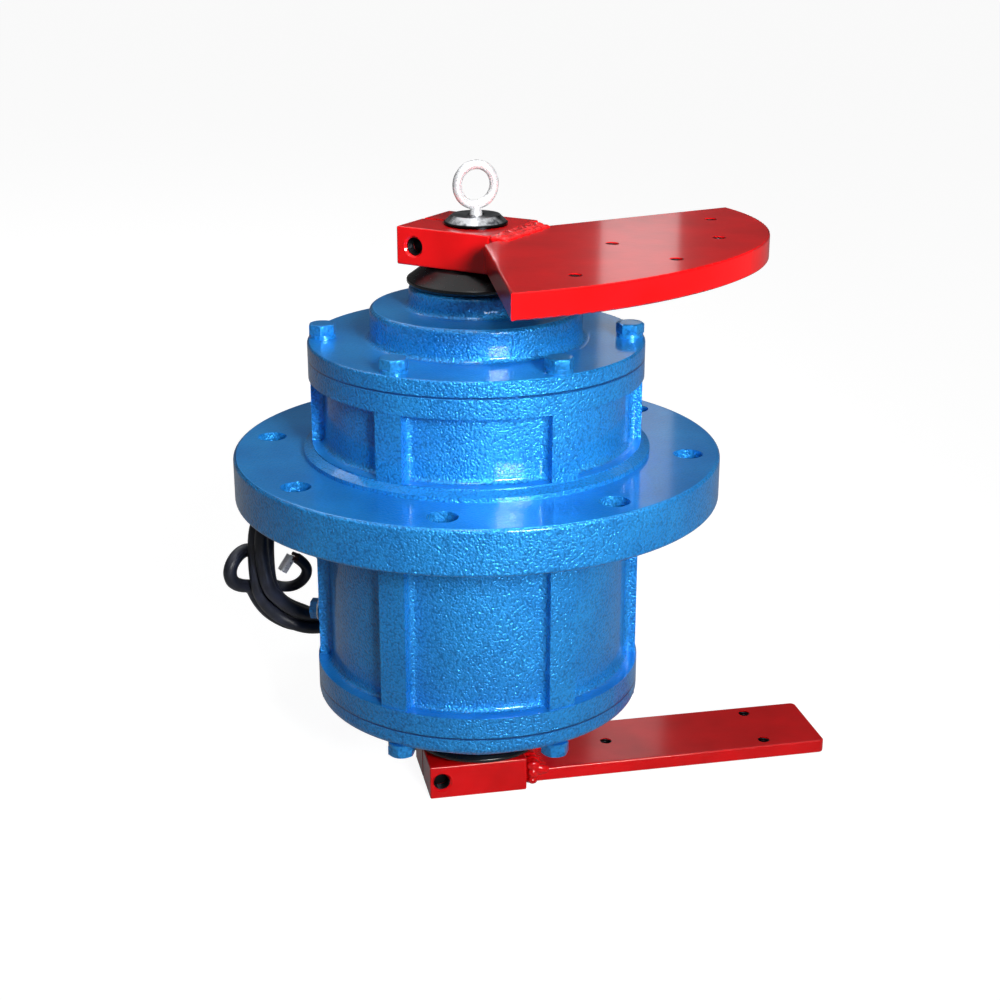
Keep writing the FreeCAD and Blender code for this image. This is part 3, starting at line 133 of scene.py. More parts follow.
# ------------------------------------------------------------------ the cable's line
# The cable leaves the gland, drops behind the hank, winds three turns, stands out in one bight
# and ends in a hook inside the hank. Its line is set out as in the CAD source: in a frame turned
# about Z, with t to the right, n away from the front and z up.
HANK_TURN = math.radians(30)
GLAND_HEADING = math.radians(146) - HANK_TURN
CABLE_DIAMETER = 0.010
STRIPPED_DIAMETER = 0.008
EXIT_RADIUS = 0.146
EXIT_LEVEL = -0.0435
LEAD_RUN = 0.032
HANK_CENTRE = Vector((-0.0645, 0.1245, -0.0752))
# radius of the hank's round ends, and half the straight run between them
HANK_ROUND = 0.0445
HANK_STRAIGHT = 0.010
# how far each lane of the hank's square section lies from its middle, across and to the back
LANE = 0.0053
TURNS = 3
POINTS_A_TURN = 18
# the winding's first points make room for the lead
POINTS_LEFT_OUT = 2


def to_world(point):
    """A point of the turned frame in the model's frame."""
    return Matrix.Rotation(HANK_TURN, 3, "Z") @ Vector(point)


def eased(x, start, stop):
    """Smooth step from 0 at start to 1 at stop."""
    x = min(1, max(0, (x - start) / (stop - start)))
    return x * x * (3 - 2 * x)


# lanes in the order in which the turns take them: outward (+) and backward (+) of the middle
LANES = [(-1, 1), (-1, -1), (1, -1), (1, 1)]
# the shares of each turn, counted from the bottom, between which it moves on to the next lane
LANE_CHANGES = [(0.52, 0.70), (0.13, 0.29), (0.03, 0.14)]


def hank_point(turned):
    """Point of the winding after so many turns, counted from the bottom up its left side."""
    lap = int(turned)
    part = turned - lap
    lane = Vector(LANES[lap])
    if lap < TURNS:
        lane = lane.lerp(Vector(LANES[lap + 1]), eased(part, *LANE_CHANGES[lap]))
    angle = 2 * math.pi * part
    reach = HANK_ROUND + LANE * lane.x
    t = -reach * math.sin(angle)
    z = -reach * math.cos(angle) - math.copysign(HANK_STRAIGHT, math.cos(angle))
    return HANK_CENTRE + Vector((t, LANE * lane.y, z))


outward = Vector((math.cos(GLAND_HEADING), math.sin(GLAND_HEADING), 0))
cable_exit = outward * EXIT_RADIUS + Vector((0, 0, EXIT_LEVEL))
first_turn = outward * (EXIT_RADIUS + LEAD_RUN) + Vector((0, 0, EXIT_LEVEL))
lead = [
    cable_exit,
    first_turn,
    first_turn + Vector((6, 26, -16)) * MM,
    first_turn + Vector((28, 36, -38)) * MM,
    first_turn + Vector((48, 26, -66)) * MM,
    first_turn + Vector((52, 4, -90)) * MM,
    HANK_CENTRE + Vector((19, 21, -71)) * MM,
    HANK_CENTRE + Vector((-2, 17, -56)) * MM,
]
winding = [
    hank_point(k / POINTS_A_TURN) for k in range(POINTS_LEFT_OUT, TURNS * POINTS_A_TURN + 1)
]
# the bight stands out to the left behind the turns, then the end hooks down inside the hank
bight = [
    HANK_CENTRE + Vector(point) * MM
    for point in (
        (-18, 10, -60.5),
        (-34, 16.5, -50),
        (-43, 17.5, -37),
        (-48, 17, -24),
        (-57, 13, -21),
        (-65.8, 10, -15),
        (-67.8, 9, -5),
        (-61.5, 11, 3.8),
        (-51, 15.5, 6.6),
        (-41.5, 18, 0.5),
    )
]
hook = [
    HANK_CENTRE + Vector(point) * MM
    for point in (
        (-39.5, 18, -11),
        (-35.5, 17, -22),
        (-27.5, 13.5, -28),
        (-17, 7, -27.5),
        (-10.5, 0, -18.5),
        (-11.5, -4, -7.5),
        (-19.5, -4, -0.6),
    )
]

route = [to_world(p) for p in lead + winding + bight + hook]
line = bpy.data.curves.new("supply_cable_line", "CURVE")
line.dimensions = "3D"
spline = line.splines.new("NURBS")
spline.points.add(len(route) - 1)
for point, place in zip(spline.points, route):
    point.co = (*place, 1)
    point.radius = CABLE_DIAMETER / 2
# the last points are the stripped end, thinner by its outer sheath
for point in spline.points[-len(hook) :]:
    point.radius = STRIPPED_DIAMETER / 2
spline.order_u = 3
spline.use_endpoint_u = True
# a bevel of one metre makes each point's radius the cable's own, in metres
line.bevel_depth = 1
line.bevel_resolution = 6
line.resolution_u = 6
line.use_fill_caps = True
cable = bpy.data.objects.new("supply_cable_winding", line)
bpy.context.collection.objects.link(cable)
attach(cable, "housing")
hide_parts("supply_cable", "cable_hank", "cable_bight", "cable_tail")

# ------------------------------------------------------------------ the two weights
# each weight's base level in mm and its turn about Z in degrees, by the body that carries it
WEIGHTS = {"rotor": (158, -31), "lower_weight": (-220.3, 11)}


def weight_frame(body):
    """The own frame of a body's weight: along its arm, across, and up from its base."""
    base_mm, turned = WEIGHTS[body]
    base = Matrix.Translation((0, 0, base_mm * MM))
    return base @ Matrix.Rotation(math.radians(turned), 4, "Z")


# ------------------------------------------------------------------ weld beads
WELD_VOXEL = 0.0006
# the welder's hand wanders and shakes: how far in mm, and how fast in radians a ripple
WANDER, WANDER_RATE = 0.7, 2.3
SHAKE, SHAKE_RATE = 0.5, 5.1
# a ripple swells or shrinks by up to this share of its size
SWELL, SWELL_RATE = 0.14, 3.7
# a ripple's half length as a share of the pitch, and the share of a sway along the arm and upward
RIPPLE_LENGTH = 0.95
ALONG_SHARE, UP_SHARE = 0.5, 0.3


def ripple(place_mm, reach_mm, lean):
    """One frozen ripple of weld metal, a squashed ball that leans back along the seam."""
    bpy.ops.mesh.primitive_uv_sphere_add(segments=16, ring_count=8, radius=1 * MM)
    ball = bpy.context.object
    bpy.ops.object.mode_set(mode="EDIT")
    bpy.ops.transform.resize(value=reach_mm)
    bpy.ops.object.mode_set(mode="OBJECT")
    ball.matrix_world = Matrix.Translation(Vector(place_mm) * MM) @ Matrix.Rotation(lean, 4, "X")
    bpy.ops.object.transform_apply()
    return ball


def make_weld(name, node, body, ends_mm, rows):
    """Weld bead between two ends across a weight: rows of ripples fused into one lumpy skin."""
    deselect_all()
    front, back = ends_mm
    balls = []
    for along, up, wide, tall, pitch, lean in rows:
        count = round((back - front) / pitch)
        for k in range(count + 1):
            across = front + (back - front) * k / count
            sway = WANDER * math.sin(WANDER_RATE * k + along)
            sway += SHAKE * math.sin(SHAKE_RATE * k + up)
            grown = 1 + SWELL * math.sin(SWELL_RATE * k + wide)
            place = (along + ALONG_SHARE * sway, across, up + UP_SHARE * sway)
            reach = (wide * grown, pitch * RIPPLE_LENGTH, tall * grown)
            balls.append(ripple(place, reach, math.radians(lean)))
    deselect_all()
    for ball in balls:
        ball.select_set(True)
    bead = balls[0]
    bpy.context.view_layer.objects.active = bead
    bpy.ops.object.join()
    bead.matrix_world = weight_frame(body)
    bpy.ops.object.transform_apply()
    skin = bead.modifiers.new("skin", "REMESH")
    skin.mode = "VOXEL"
    skin.voxel_size = WELD_VOXEL
    bpy.ops.object.modifier_apply(modifier=skin.name)
    melt = bead.modifiers.new("melt", "SMOOTH")
    melt.factor = 0.5
    melt.iterations = 3
    bpy.ops.object.modifier_apply(modifier=melt.name)
    bpy.ops.object.shade_smooth()
    bead.name = name
    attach(bead, body)
    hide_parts(node)
    return bead


# rows of ripples in mm and degrees: along, up, wide, tall, pitch and lean
UPPER_ROWS = [
    (32.6, 8.5, 3.6, 4.4, 3.2, 12),
    (32.6, 15.5, 3.6, 4.6, 3.2, -12),
    (31.6, 23.0, 3.6, 2.6, 3.3, 20),
    (36.0, 22.9, 4.2, 3.0, 2.7, 24),
    (40.0, 22.4, 3.2, 2.3, 3.0, 24),
]
LOWER_ROWS = [
    (33.0, 6.8, 4.4, 3.6, 3.8, 12),
    (33.4, 12.5, 4.8, 4.6, 3.8, -12),
    (38.5, 14.0, 6.8, 4.2, 3.4, 20),
    (34.0, 18.2, 5.6, 4.8, 3.1, 22),
]
welds = [
    make_weld("upper_weld_ripples", "upper_weld_bead", "rotor", (-30, 22), UPPER_ROWS),
    make_weld("lower_weld_ripples", "lower_weld_bead", "lower_weight", (-31, 29), LOWER_ROWS),
]


# ------------------------------------------------------------------ tapped holes
PLATE_PITCH_MM = 1.5
CLAMP_PITCH_MM = 1.75
CLAMP_RADIUS_MM = 6
CLAMP_TURNS = 5
# where the clamp screws' threads start, across their blocks, and how high above the base
CLAMP_MOUTH_MM = -31.2
CLAMP_LEVEL_MM = 12.5
# a thread's depth as a share of its pitch, and how far its foot stays clear of the hole's wall
THREAD_DEPTH = 0.55
THREAD_FOOT_MM = 0.02
STEPS_A_TURN = 20


def make_thread(name, radius_mm, pitch_mm, length_mm, body):
    """Cut thread in a tapped hole: one ridge, triangular in section, wound up the hole's wall."""
    deselect_all()
    bpy.ops.mesh.primitive_circle_add(vertices=3, radius=pitch_mm * MM / math.sqrt(3))
    ridge = bpy.context.object
    bpy.ops.object.mode_set(mode="EDIT")
    bpy.ops.transform.rotate(value=math.pi / 2, orient_axis="X", center_override=(0, 0, 0))
    bpy.ops.transform.rotate(value=math.pi / 2, orient_axis="Y", center_override=(0, 0, 0))
    bpy.ops.object.mode_set(mode="OBJECT")
    corners = sorted(ridge.data.vertices, key=lambda corner: corner.co.z)
    foot, crest = THREAD_FOOT_MM, THREAD_DEPTH * pitch_mm
    for corner, (inward, level) in zip(corners, ((foot, 0), (crest, 0.5), (foot, 1))):
        corner.co = Vector((radius_mm - inward, 0, level * pitch_mm)) * MM
    screw = ridge.modifiers.new("wind", "SCREW")
    screw.screw_offset = pitch_mm * MM
    screw.steps = screw.render_steps = STEPS_A_TURN
    screw.iterations = round(length_mm / pitch_mm) - 1
    screw.use_normal_calculate = True
    bpy.ops.object.modifier_apply(modifier=screw.name)
    bpy.ops.object.mode_set(mode="EDIT")
    bpy.ops.mesh.select_all(action="SELECT")
    bpy.ops.mesh.fill_holes(sides=3)
    bpy.ops.mesh.select_all(action="SELECT")
    bpy.ops.mesh.normals_make_consistent(inside=False)
    bpy.ops.object.mode_set(mode="OBJECT")
    ridge.name = name
    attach(ridge, body)
    return ridge


def settle(piece, frame_of_hole):
    """Move a piece that was made about the origin to its hole, with its place in its mesh."""
    piece.data.transform(frame_of_hole)
    piece.data.update()


threads = []
for mount in frame["record"]["mounts"]:
    if mount["kind"] != "threaded_hole":
        continue
    size = mount["dims"]
    body = "rotor" if mount["name"].startswith("upper") else "lower_weight"
    long = size["length_mm"]
    thread = make_thread(f"{mount['name']}_thread", size["r_mm"], PLATE_PITCH_MM, long, body)
    settle(thread, Matrix.Translation(Vector(mount["pos_m"]) - Vector((0, 0, long / 2)) * MM))
    threads.append(thread)

# the blind ends of the clamp screws' threads, cut crosswise through the blocks' front halves, each
# at its screw's place along the weight
crosswise = Matrix.Rotation(-math.pi / 2, 4, "X")
long = CLAMP_TURNS * CLAMP_PITCH_MM
for name, body, along_mm in (
    ("upper_clamp_thread", "rotor", -28),
    ("lower_clamp_thread", "lower_weight", -32.5),
):
    thread = make_thread(name, CLAMP_RADIUS_MM, CLAMP_PITCH_MM, long, body)
    mouth = Vector((along_mm, CLAMP_MOUTH_MM, CLAMP_LEVEL_MM)) * MM
    settle(thread, weight_frame(body) @ Matrix.Translation(mouth) @ crosswise)
    threads.append(thread)


# ------------------------------------------------------------------ cover bolts
BOLT_FLATS = 16.4 * MM
BOLT_HEAD = 6.8 * MM
BOLT_RADIUS = 4.95 * MM
BOLT_COUNT = 6
HEAD_CHAMFER = math.radians(30)
# radius of a head's round top face
HEAD_TOP = 0.485 * BOLT_FLATS
# how far a shank reaches into its head
SHANK_ROOT = 0.5 * MM
EDGE_WEAR = 0.3 * MM
# turn of the first head, and of each head against the last, in radians
HEAD_TURN, HEAD_STEP = 0.4, 0.9


def make_bolt(length):
    """One hex bolt, head up from the origin, its corners turned off at 30 degrees."""
    deselect_all()
    bpy.ops.mesh.primitive_cone_add(
        vertices=64,
        radius1=HEAD_TOP + BOLT_HEAD / math.tan(HEAD_CHAMFER),
        radius2=HEAD_TOP,
        depth=BOLT_HEAD,
        location=(0, 0, BOLT_HEAD / 2),
    )
    turned_off = bpy.context.object
    deselect_all()
    bpy.ops.mesh.primitive_cylinder_add(
        vertices=6,
        radius=BOLT_FLATS / 2 / math.cos(math.pi / 6),
        depth=BOLT_HEAD,
        location=(0, 0, BOLT_HEAD / 2),
    )
    bolt = bpy.context.object
    cut = bolt.modifiers.new("chamfer", "BOOLEAN")
    cut.operation = "INTERSECT"
    cut.object = turned_off
    bpy.ops.object.modifier_apply(modifier=cut.name)
    bpy.data.objects.remove(turned_off)
    bpy.ops.object.transform_apply()
    deselect_all()
    bpy.ops.mesh.primitive_cylinder_add(
        vertices=32, radius=BOLT_RADIUS, depth=length, location=(0, 0, SHANK_ROOT - length / 2)
    )
    shank = bpy.context.object
    bpy.ops.object.transform_apply()
    bolt.select_set(True)
    bpy.context.view_layer.objects.active = bolt
    bpy.ops.object.join()
    soft = bolt.modifiers.new("soft_edges", "BEVEL")
    soft.width = EDGE_WEAR
    soft.segments = 2
    soft.limit_method = "ANGLE"
    soft.angle_limit = math.radians(20)
    bpy.ops.object.modifier_apply(modifier=soft.name)
    bpy.ops.object.shade_smooth_by_angle(angle=math.radians(35))
    return bolt


def ring_of_bolts(name, node, flipped):
    """Six bolts where a CAD ring of bolts is; flipped when their heads point down."""
    ring = nodes[node]
    corners = [ring.matrix_world @ corner.co for corner in ring.data.vertices]
    step = 2 * math.pi / BOLT_COUNT
    turns = [math.atan2(corner.y, corner.x) * BOLT_COUNT for corner in corners]
    phase = math.atan2(sum(map(math.sin, turns)), sum(map(math.cos, turns))) / BOLT_COUNT
    reach = [math.hypot(corner.x, corner.y) for corner in corners]
    pitch = (min(reach) + max(reach)) / 2
    low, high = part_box(node)
    seat = low.z + BOLT_HEAD if flipped else high.z - BOLT_HEAD
    bolt = make_bolt(high.z - low.z - BOLT_HEAD)
    if flipped:
        bolt.data.transform(Matrix.Rotation(math.pi, 4, "X"))
    copies = []
    for k in range(BOLT_COUNT):
        made = bolt.copy()
        made.data = bolt.data.copy()
        bpy.context.collection.objects.link(made)
        place = Matrix.Rotation(phase + k * step, 4, "Z") @ Matrix.Translation((pitch, 0, seat))
        # spanners leave no two heads alike
        made.data.transform(place @ Matrix.Rotation(HEAD_STEP * k + HEAD_TURN, 4, "Z"))
        copies.append(made)
    bpy.data.objects.remove(bolt)
    deselect_all()
    for made in copies:
        made.select_set(True)
    bpy.context.view_layer.objects.active = copies[0]
    bpy.ops.object.join()
    whole = bpy.context.object
    whole.name = name
    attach(whole, "housing")
    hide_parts(node)
    return whole


bolts = [
    ring_of_bolts("upper_cover_hex_bolts", "upper_cover_bolts", False),
    ring_of_bolts("lower_cover_hex_bolts", "lower_cover_bolts", True),
]


# ------------------------------------------------------------------ paints
# sockets of a Mix node that mixes colours; its number sockets have the same names
COLOUR_A, COLOUR_B, COLOUR_OUT = 6, 7, 2


def blotches(tree, where, size_mm, detail, levels, colours):
    """Two colours in soft blotches of about a size. The first gives way to the second between two
    levels of the noise that draws them."""
    noise = {"Vector": where, "Scale": per_mm(size_mm), "Detail": detail}
    noise = add(tree, "TexNoise", noise, out=0)
    low, high = levels
    share = add(tree, "MapRange", {"Value": noise, "From Min": low, "From Max": high}, out=0)
    first, second = map(srgb, colours)
    sockets = {0: share, COLOUR_A: first, COLOUR_B: second}
    return add(tree, "Mix", sockets, out=COLOUR_OUT, data_type="RGBA")


def joint_groove_and_shade(tree, where, level_mm):
    """1 on the side of the drum in the fine paint-filled joint at a level, and 0 beside it. The
    hammertone dents this line and darkens it as painted shade in the seam.
    """
    up = add(tree, "SeparateXYZ", {0: where}, out="Z")
    off = add(tree, "Math", {0: up, 1: level_mm * MM}, out=0, operation="SUBTRACT")
    edge = {
        "Value": add(tree, "Math", {0: off}, out=0, operation="ABSOLUTE"),
        "From Min": 0.35 * MM,
        "From Max": 0.9 * MM,
        "To Min": 1.0,
        "To Max": 0.0,
    }
    return add(tree, "MapRange", edge, out=0)


def hammertone(name, pale, mid, dark, grain_mm, texture=1.0, joints_mm=()):
    """Hammertone enamel on cast iron: silver flake floats in a dimpled, glossy blue skin, so the
    eye sees fine dents that glint where the light falls and almost vanish in the shade. Machined
    flats come out smoother."""
    material, tree, where = new_material(name)
    facing = add(tree, "TexCoord", out="Normal")
    facing_up = add(tree, "SeparateXYZ", {0: facing}, out="Z")
    level = add(tree, "Math", {0: facing_up}, out=0, operation="ABSOLUTE")
    # 1 on cast sides, down to a quarter on the machined flats
    flat = {"Value": level, "From Min": 0.85, "From Max": 0.97, "To Min": 1.0, "To Max": 0.25}
    cast = add(tree, "MapRange", flat, out=0)
    grain = {"Vector": where, "Scale": per_mm(grain_mm)}
    cells = {**grain, "Smoothness": 0.5}
    cells = add(tree, "TexVoronoi", cells, out="Distance", feature="SMOOTH_F1")
    fine = add(tree, "TexNoise", {**grain, "Detail": 2.0}, out=0)
    mottle = add(tree, "Math", {0: cells, 1: 0.6, 2: fine}, out=0, operation="MULTIPLY_ADD")
    deep = {"Value": mottle, "From Min": 0.72, "From Max": 1.02, "To Max": 0.55}
    pits = add(tree, "MapRange", deep, out=0)
    body = blotches(tree, where, 40, 2.0, (0.3, 0.7), (mid, pale))
    shade = add(tree, "Math", {0: pits, 1: cast}, out=0, operation="MULTIPLY")
    height = add(tree, "Math", {0: mottle, 1: -1.0}, out=0, operation="MULTIPLY")
    height = add(tree, "Math", {0: height, 1: cast}, out=0, operation="MULTIPLY")
    for joint in joints_mm:
        groove_and_shade = joint_groove_and_shade(tree, where, joint)
        # painted shade: the joint's seam takes the dark colour, and its height dips as a dent
        shade = add(tree, "Math", {0: shade, 1: groove_and_shade}, out=0, operation="MAXIMUM")
        height = add(tree, "Math", {0: height, 1: groove_and_shade}, out=0, operation="SUBTRACT")
    darkened = {0: shade, COLOUR_A: body, COLOUR_B: srgb(dark)}
    dents = {"Height": height, "Distance": 0.8 * texture * MM, "Strength": 1.0}
    paint = {
        "Base Color": add(tree, "Mix", darkened, out=COLOUR_OUT, data_type="RGBA"),
        "Metallic": 0.45,
        "Roughness": 0.34,
        "IOR": 1.3,
        "Coat Weight": 0.6,
        "Coat Roughness": 0.09,
        "Normal": add(tree, "Bump", dents, out="Normal"),
    }
    add(tree, "OutputMaterial", {"Surface": add(tree, "BsdfPrincipled", paint, out=0)})
    return material


def gloss_enamel(name, colour, deep):
    """Brushed-on gloss alkyd enamel on flame-cut steel: clear sheen, faint brush streaks."""
    material, tree, where = new_material(name)
    brushed = {0: where, "Rotation": (0, 0, math.radians(25)), "Scale": (0.12, 1, 1)}
    streaks = {
        "Vector": add(tree, "Mapping", brushed, out=0),
        "Scale": per_mm(3),
        "Detail": 2.0,
    }
    streaks = add(tree, "TexNoise", streaks, out=0)
    peel = {"Vector": where, "Scale": per_mm(4), "Detail": 1.0}
    peel = add(tree, "TexNoise", peel, out=0)
    height = add(tree, "Math", {0: streaks, 1: 0.5, 2: peel}, out=0, operation="MULTIPLY_ADD")
    skin = {"Height": height, "Distance": 0.06 * MM, "Strength": 0.6}
    paint = {
        "Base Color": blotches(tree, where, 35, 2.0, (0.35, 0.7), (colour, deep)),
        "Roughness": 0.3,
        "IOR": 1.3,
        "Specular IOR Level": 0.2,
        "Coat Weight": 0.7,
        "Coat Roughness": 0.1,
        "Normal": add(tree, "Bump", skin, out="Normal"),
    }
    add(tree, "OutputMaterial", {"Surface": add(tree, "BsdfPrincipled", paint, out=0)})
    return material


# ------------------------------------------------------------------ metals, rubber and plastics
def grained(tree, grain, depth_mm, least, most):
    """The roughness and the normal of a surface whose grain makes it rougher and higher."""
    rough = {"Value": grain, "From Min": 0.3, "From Max": 0.7, "To Min": least, "To Max": most}
    raised = {"Height": grain, "Distance": depth_mm * MM, "Strength": 1.0}
    return {
        "Roughness": add(tree, "MapRange", rough, out=0),
        "Normal": add(tree, "Bump", raised, out="Normal"),
    }


def metal(
    name, colour, dull, roughness, grain_mm=1.0, stretch=(1, 1, 1), depth_mm=0.02, metallic=1.0
):
    """Bare metal: a base tint, a duller tint in patches, and a grain that scatters its shine."""
    material, tree, where = new_material(name)
    along = add(tree, "Mapping", {0: where, "Scale": stretch}, out=0)
    grain = {"Vector": along, "Scale": per_mm(grain_mm), "Detail": 3.0}
    grain = add(tree, "TexNoise", grain, out=0)
    bare = {
        "Base Color": blotches(tree, where, 14, 3.0, (0.35, 0.75), (colour, dull)),
        "Metallic": metallic,
        **grained(tree, grain, depth_mm, roughness * 0.8, roughness * 1.25),
    }
    add(tree, "OutputMaterial", {"Surface": add(tree, "BsdfPrincipled", bare, out=0)})
    return material


def shaft_steel(name):
    """Turned steel shaft: a dull end face, a bevel painted near white in patches as a painted
    highlight, and a near-black side.
    """
    material, tree, where = new_material(name)
    place = add(tree, "SeparateXYZ", {0: where}).outputs
    flat = add(tree, "CombineXYZ", {0: place["X"], 1: place["Y"]}, out=0)
    radius = add(tree, "VectorMath", {0: flat}, out="Value", operation="LENGTH")
    rings = {"W": radius, "Scale": per_mm(0.5), "Detail": 2.0}
    rings = add(tree, "TexNoise", rings, out=0, noise_dimensions="1D")
    # the bevel starts about 16 mm from the axis and the side about 20 mm, with soft borders
    bevel = {"Value": radius, "From Min": 15.4 * MM, "From Max": 16.2 * MM}
    bevel = add(tree, "MapRange", bevel, out=0)
    side = {"Value": radius, "From Min": 19.9 * MM, "From Max": 20.3 * MM}
    side = add(tree, "MapRange", side, out=0)
    face = blotches(tree, where, 9, 3.0, (0.4, 0.7), ("6d6f74", "3c3d41"))
    # painted highlight: the bevel's near-white tint is paler than any steel and stands for its
    # glint, with darker patches between
    bevel_highlight_patches = blotches(tree, where, 9, 3.0, (0.42, 0.62), ("eceef2", "5a5c62"))
    tint = {0: bevel, COLOUR_A: face, COLOUR_B: bevel_highlight_patches}
    tint = add(tree, "Mix", tint, out=COLOUR_OUT, data_type="RGBA")
    tint = {0: side, COLOUR_A: tint, COLOUR_B: srgb("141416")}
    tint = add(tree, "Mix", tint, out=COLOUR_OUT, data_type="RGBA")
    shine = {"Value": bevel, "To Min": 0.38, "To Max": 0.22}
    turned = {"Height": rings, "Distance": 0.03 * MM, "Strength": 1.0}
    bare = {
        "Base Color": tint,
        "Metallic": 1.0,
        "Roughness": add(tree, "MapRange", shine, out=0),
        "Normal": add(tree, "Bump", turned, out="Normal"),
    }
    add(tree, "OutputMaterial", {"Surface": add(tree, "BsdfPrincipled", bare, out=0)})
    return material


def rubber(name, colour, bloom, roughness, grain_mm, depth_mm=0.05):
    """Moulded or extruded rubber: almost black, with a paler bloom and a fine uneven skin."""
    material, tree, where = new_material(name)
    skin = {"Vector": where, "Scale": per_mm(grain_mm), "Detail": 3.0}
    skin = add(tree, "TexNoise", skin, out=0)
    body = {
        "Base Color": blotches(tree, where, 18, 2.0, (0.4, 0.75), (colour, bloom)),
        "IOR": 1.52,
        **grained(tree, skin, depth_mm, roughness * 0.9, roughness * 1.15),
    }
    add(tree, "OutputMaterial", {"Surface": add(tree, "BsdfPrincipled", body, out=0)})
    return material


HAMMERTONE = hammertone(
    "hammertone_enamel_on_cast_iron", "2c9dec", "228bdc", "0c4f94", 1.6, 1.0, (96.6, -135.3)
)
BOLT_ENAMEL = hammertone("enamel_on_bolts", "2b9ae6", "1f86d6", "0c4f94", 2.0, texture=0.25)
RED_ENAMEL = gloss_enamel("gloss_enamel_on_steel", "df0b11", "c8070a")
SHAFT_STEEL = shaft_steel("turned_shaft_steel")
ZINC = metal("bright_zinc_plating", "f8f9fa", "e6e8ec", 0.3, 1.5, depth_mm=0.005, metallic=0.55)
LAMINATION = metal("electrical_sheet_steel", "74787f", "585c63", 0.42, 1.0, (0.05, 0.05, 1), 0.05)
VARNISHED_WIRE = metal("varnished_copper_wire", "8a3d1c", "5c2410", 0.38, 1.6, (1, 1, 0.2), 0.2)
CAST_ALUMINIUM = metal("cast_aluminium", "c8cace", "a9acb1", 0.45, 1.2, depth_mm=0.04)
BEARING_STEEL = metal("ground_bearing_steel", "c4c7cd", "b2b5bb", 0.18, 0.6, (0.3, 0.3, 2))
BRASS = metal("machined_brass", "c9a24f", "ad8638", 0.3, 0.6, (0.3, 0.3, 2))
GREY_IRON = metal("machined_grey_iron", "63656a", "4b4d51", 0.45, 1.2, depth_mm=0.04)
# painted shade: this near-black steel on the cut threads and the clamp screws stands in for the
# shade inside their holes
DARK_STEEL_AND_HOLE_SHADE = metal("dark_steel_and_hole_shade", "35363a", "252629", 0.38, 0.8)
SEAL_RUBBER = rubber("nitrile_rubber", "17161a", "232125", 0.5, 1.2)
SLINGER_RUBBER = rubber("satin_moulded_rubber", "0b0c0e", "131416", 0.24, 1.6)
CABLE_RUBBER = rubber("extruded_cable_rubber", "20232d", "31364a", 0.4, 2.0, 0.12)
GLAND_POLYAMIDE = rubber("black_polyamide", "18191c", "222327", 0.42, 1.0)
CORE_PLASTIC = rubber("core_insulation_plastic", "4a2c1f", "5a382a", 0.45, 1.0)

FINISH = {
    "hammertone_blue": HAMMERTONE,
    "gloss_red": RED_ENAMEL,
    "shaft_steel": SHAFT_STEEL,
    "plated_steel": ZINC,
    "core_steel": LAMINATION,
    "varnished_copper": VARNISHED_WIRE,
    "cast_aluminium": CAST_ALUMINIUM,
    "bearing_steel": BEARING_STEEL,
    "bearing_brass": BRASS,
    "grey_iron": GREY_IRON,
    "dark_screw_steel": DARK_STEEL_AND_HOLE_SHADE,
    "seal_rubber": SEAL_RUBBER,
    "slinger_rubber": SLINGER_RUBBER,
    "gland_plastic": GLAND_POLYAMIDE,
    "cable_rubber": CABLE_RUBBER,
    "core_insulation": CORE_PLASTIC,
}
# pieces that are painted over with the drum, thinner than the castings
BOLT_NODES = {
    "upper_cover_bolts",
    "lower_cover_bolts",
    "upper_spring_washers",
    "lower_spring_washers",
    "earth_screw",
}
for part in frame["record"]["subparts"]:
    node = nodes[part["node"]]
    give(node, BOLT_ENAMEL if part["node"] in BOLT_NODES else FINISH[part["material_slot"]])
give(cable, CABLE_RUBBER)
for weld in welds:
    give(weld, RED_ENAMEL)
# the cut threads are real, and their near-black tone is painted shade inside the holes
for thread in threads:
    give(thread, DARK_STEEL_AND_HOLE_SHADE)
for ring in bolts:
    give(ring, BOLT_ENAMEL)


# ------------------------------------------------------------------ floor, backdrop and lights
def seen_and_mirrored(tree):
    """1 for what the camera sees directly, and 1 for what it sees mirrored or through glass."""
    rays = add(tree, "LightPath").outputs
    either = {0: rays["Is Glossy Ray"], 1: rays["Is Transmission Ray"]}
    return rays["Is Camera Ray"], add(tree, "Math", either, out=0, operation="MAXIMUM")


FLOOR_SIZE = 24
# added glow of the floor where the camera sees it directly, and where it sees it mirrored
FLOOR_SEEN, FLOOR_MIRRORED = 0.93, 0.15


def floor_material(name):
    """Matt grey floor that keeps the shadow; the camera sees it lifted almost to white, and a
    mirror image of it is lifted only a little."""
    material, tree, _ = new_material(name)
    seen, mirrored = seen_and_mirrored(tree)
    matt = add(tree, "BsdfDiffuse", {"Color": srgb("8c8c8c")}, out=0)
    glow = add(tree, "Math", {0: mirrored, 1: FLOOR_MIRRORED}, out=0, operation="MULTIPLY")
    glow = add(tree, "Math", {0: seen, 1: FLOOR_SEEN, 2: glow}, out=0, operation="MULTIPLY_ADD")
    lift = add(tree, "Emission", {"Strength": glow}, out=0)
    add(tree, "OutputMaterial", {"Surface": add(tree, "AddShader", {0: matt, 1: lift}, out=0)})
    return material


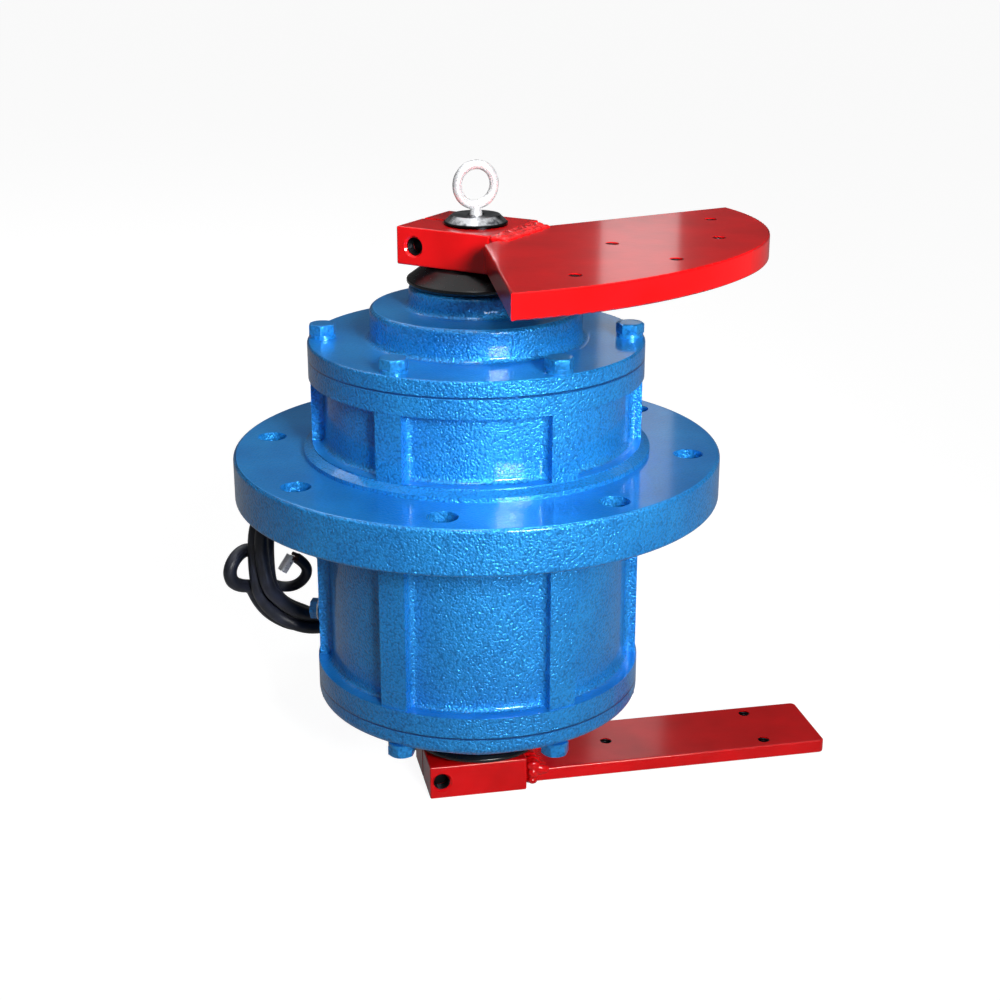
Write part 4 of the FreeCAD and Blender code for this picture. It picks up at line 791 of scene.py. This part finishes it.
deselect_all()
floor_level = cad_box[0].z
bpy.ops.mesh.primitive_plane_add(size=FLOOR_SIZE, location=(0, 0, floor_level))
floor = bpy.context.object
floor.name = "floor"
give(floor, floor_material("pale_floor"))

# the world is white to the camera and soft on the pieces; mirrored, it is a room that is dim along
# the horizon and bright overhead
FILL = 0.08
HORIZON, OVERHEAD = 0.06, 0.9
world = bpy.data.worlds.new("studio")
bpy.context.scene.world = world
world.use_nodes = True
sky = world.node_tree
sky.nodes.clear()
seen, mirrored = seen_and_mirrored(sky)
heading = add(sky, "SeparateXYZ", {0: add(sky, "TexCoord", out="Generated")}, out="Z")
room = {
    "Value": heading,
    "From Min": 0.45,
    "From Max": 0.8,
    "To Min": HORIZON,
    "To Max": OVERHEAD,
}
room = add(sky, "MapRange", room, out=0)
strength = add(sky, "MapRange", {"Value": mirrored, "To Min": FILL, "To Max": room}, out=0)
strength = add(sky, "Math", {0: strength, 1: seen}, out=0, operation="MAXIMUM")
glow = add(sky, "Background", {"Color": (1, 1, 1, 1), "Strength": strength}, out=0)
add(sky, "OutputWorld", {"Surface": glow})


def softbox(name, place, aim, size, power, grid_degrees=180):
    """Rectangular studio lamp at a place, turned to an aim point; a grid narrows its beam."""
    bpy.ops.object.light_add(type="AREA", location=place)
    lamp = bpy.context.object
    lamp.name = name
    lamp.rotation_euler = (Vector(aim) - Vector(place)).to_track_quat("-Z", "Y").to_euler()
    lamp.data.shape = "RECTANGLE"
    lamp.data.size, lamp.data.size_y = size
    lamp.data.energy = power
    lamp.data.spread = math.radians(grid_degrees)


softbox("key_front_right", (0.65, -1.5, 0.74), (0.05, 0, 0.16), (0.6, 0.6), 3.2, 34)
# its mirror image runs along rounded edges
softbox("overhead", (-0.1, -0.7, 1.8), (0, 0, 0.05), (0.35, 0.3), 5.5)
softbox("back_fill", (-0.7, 1.4, 1.7), (0, 0, 0.05), (0.8, 0.8), 5)
# its mirror image is the pale band across the upper plate
softbox("plate_sheen", (0.25, 1.5, 0.58), (0.1, -0.08, 0.18), (0.12, 0.3), 0.11)

bpy.context.scene.view_settings.view_transform = "Standard"
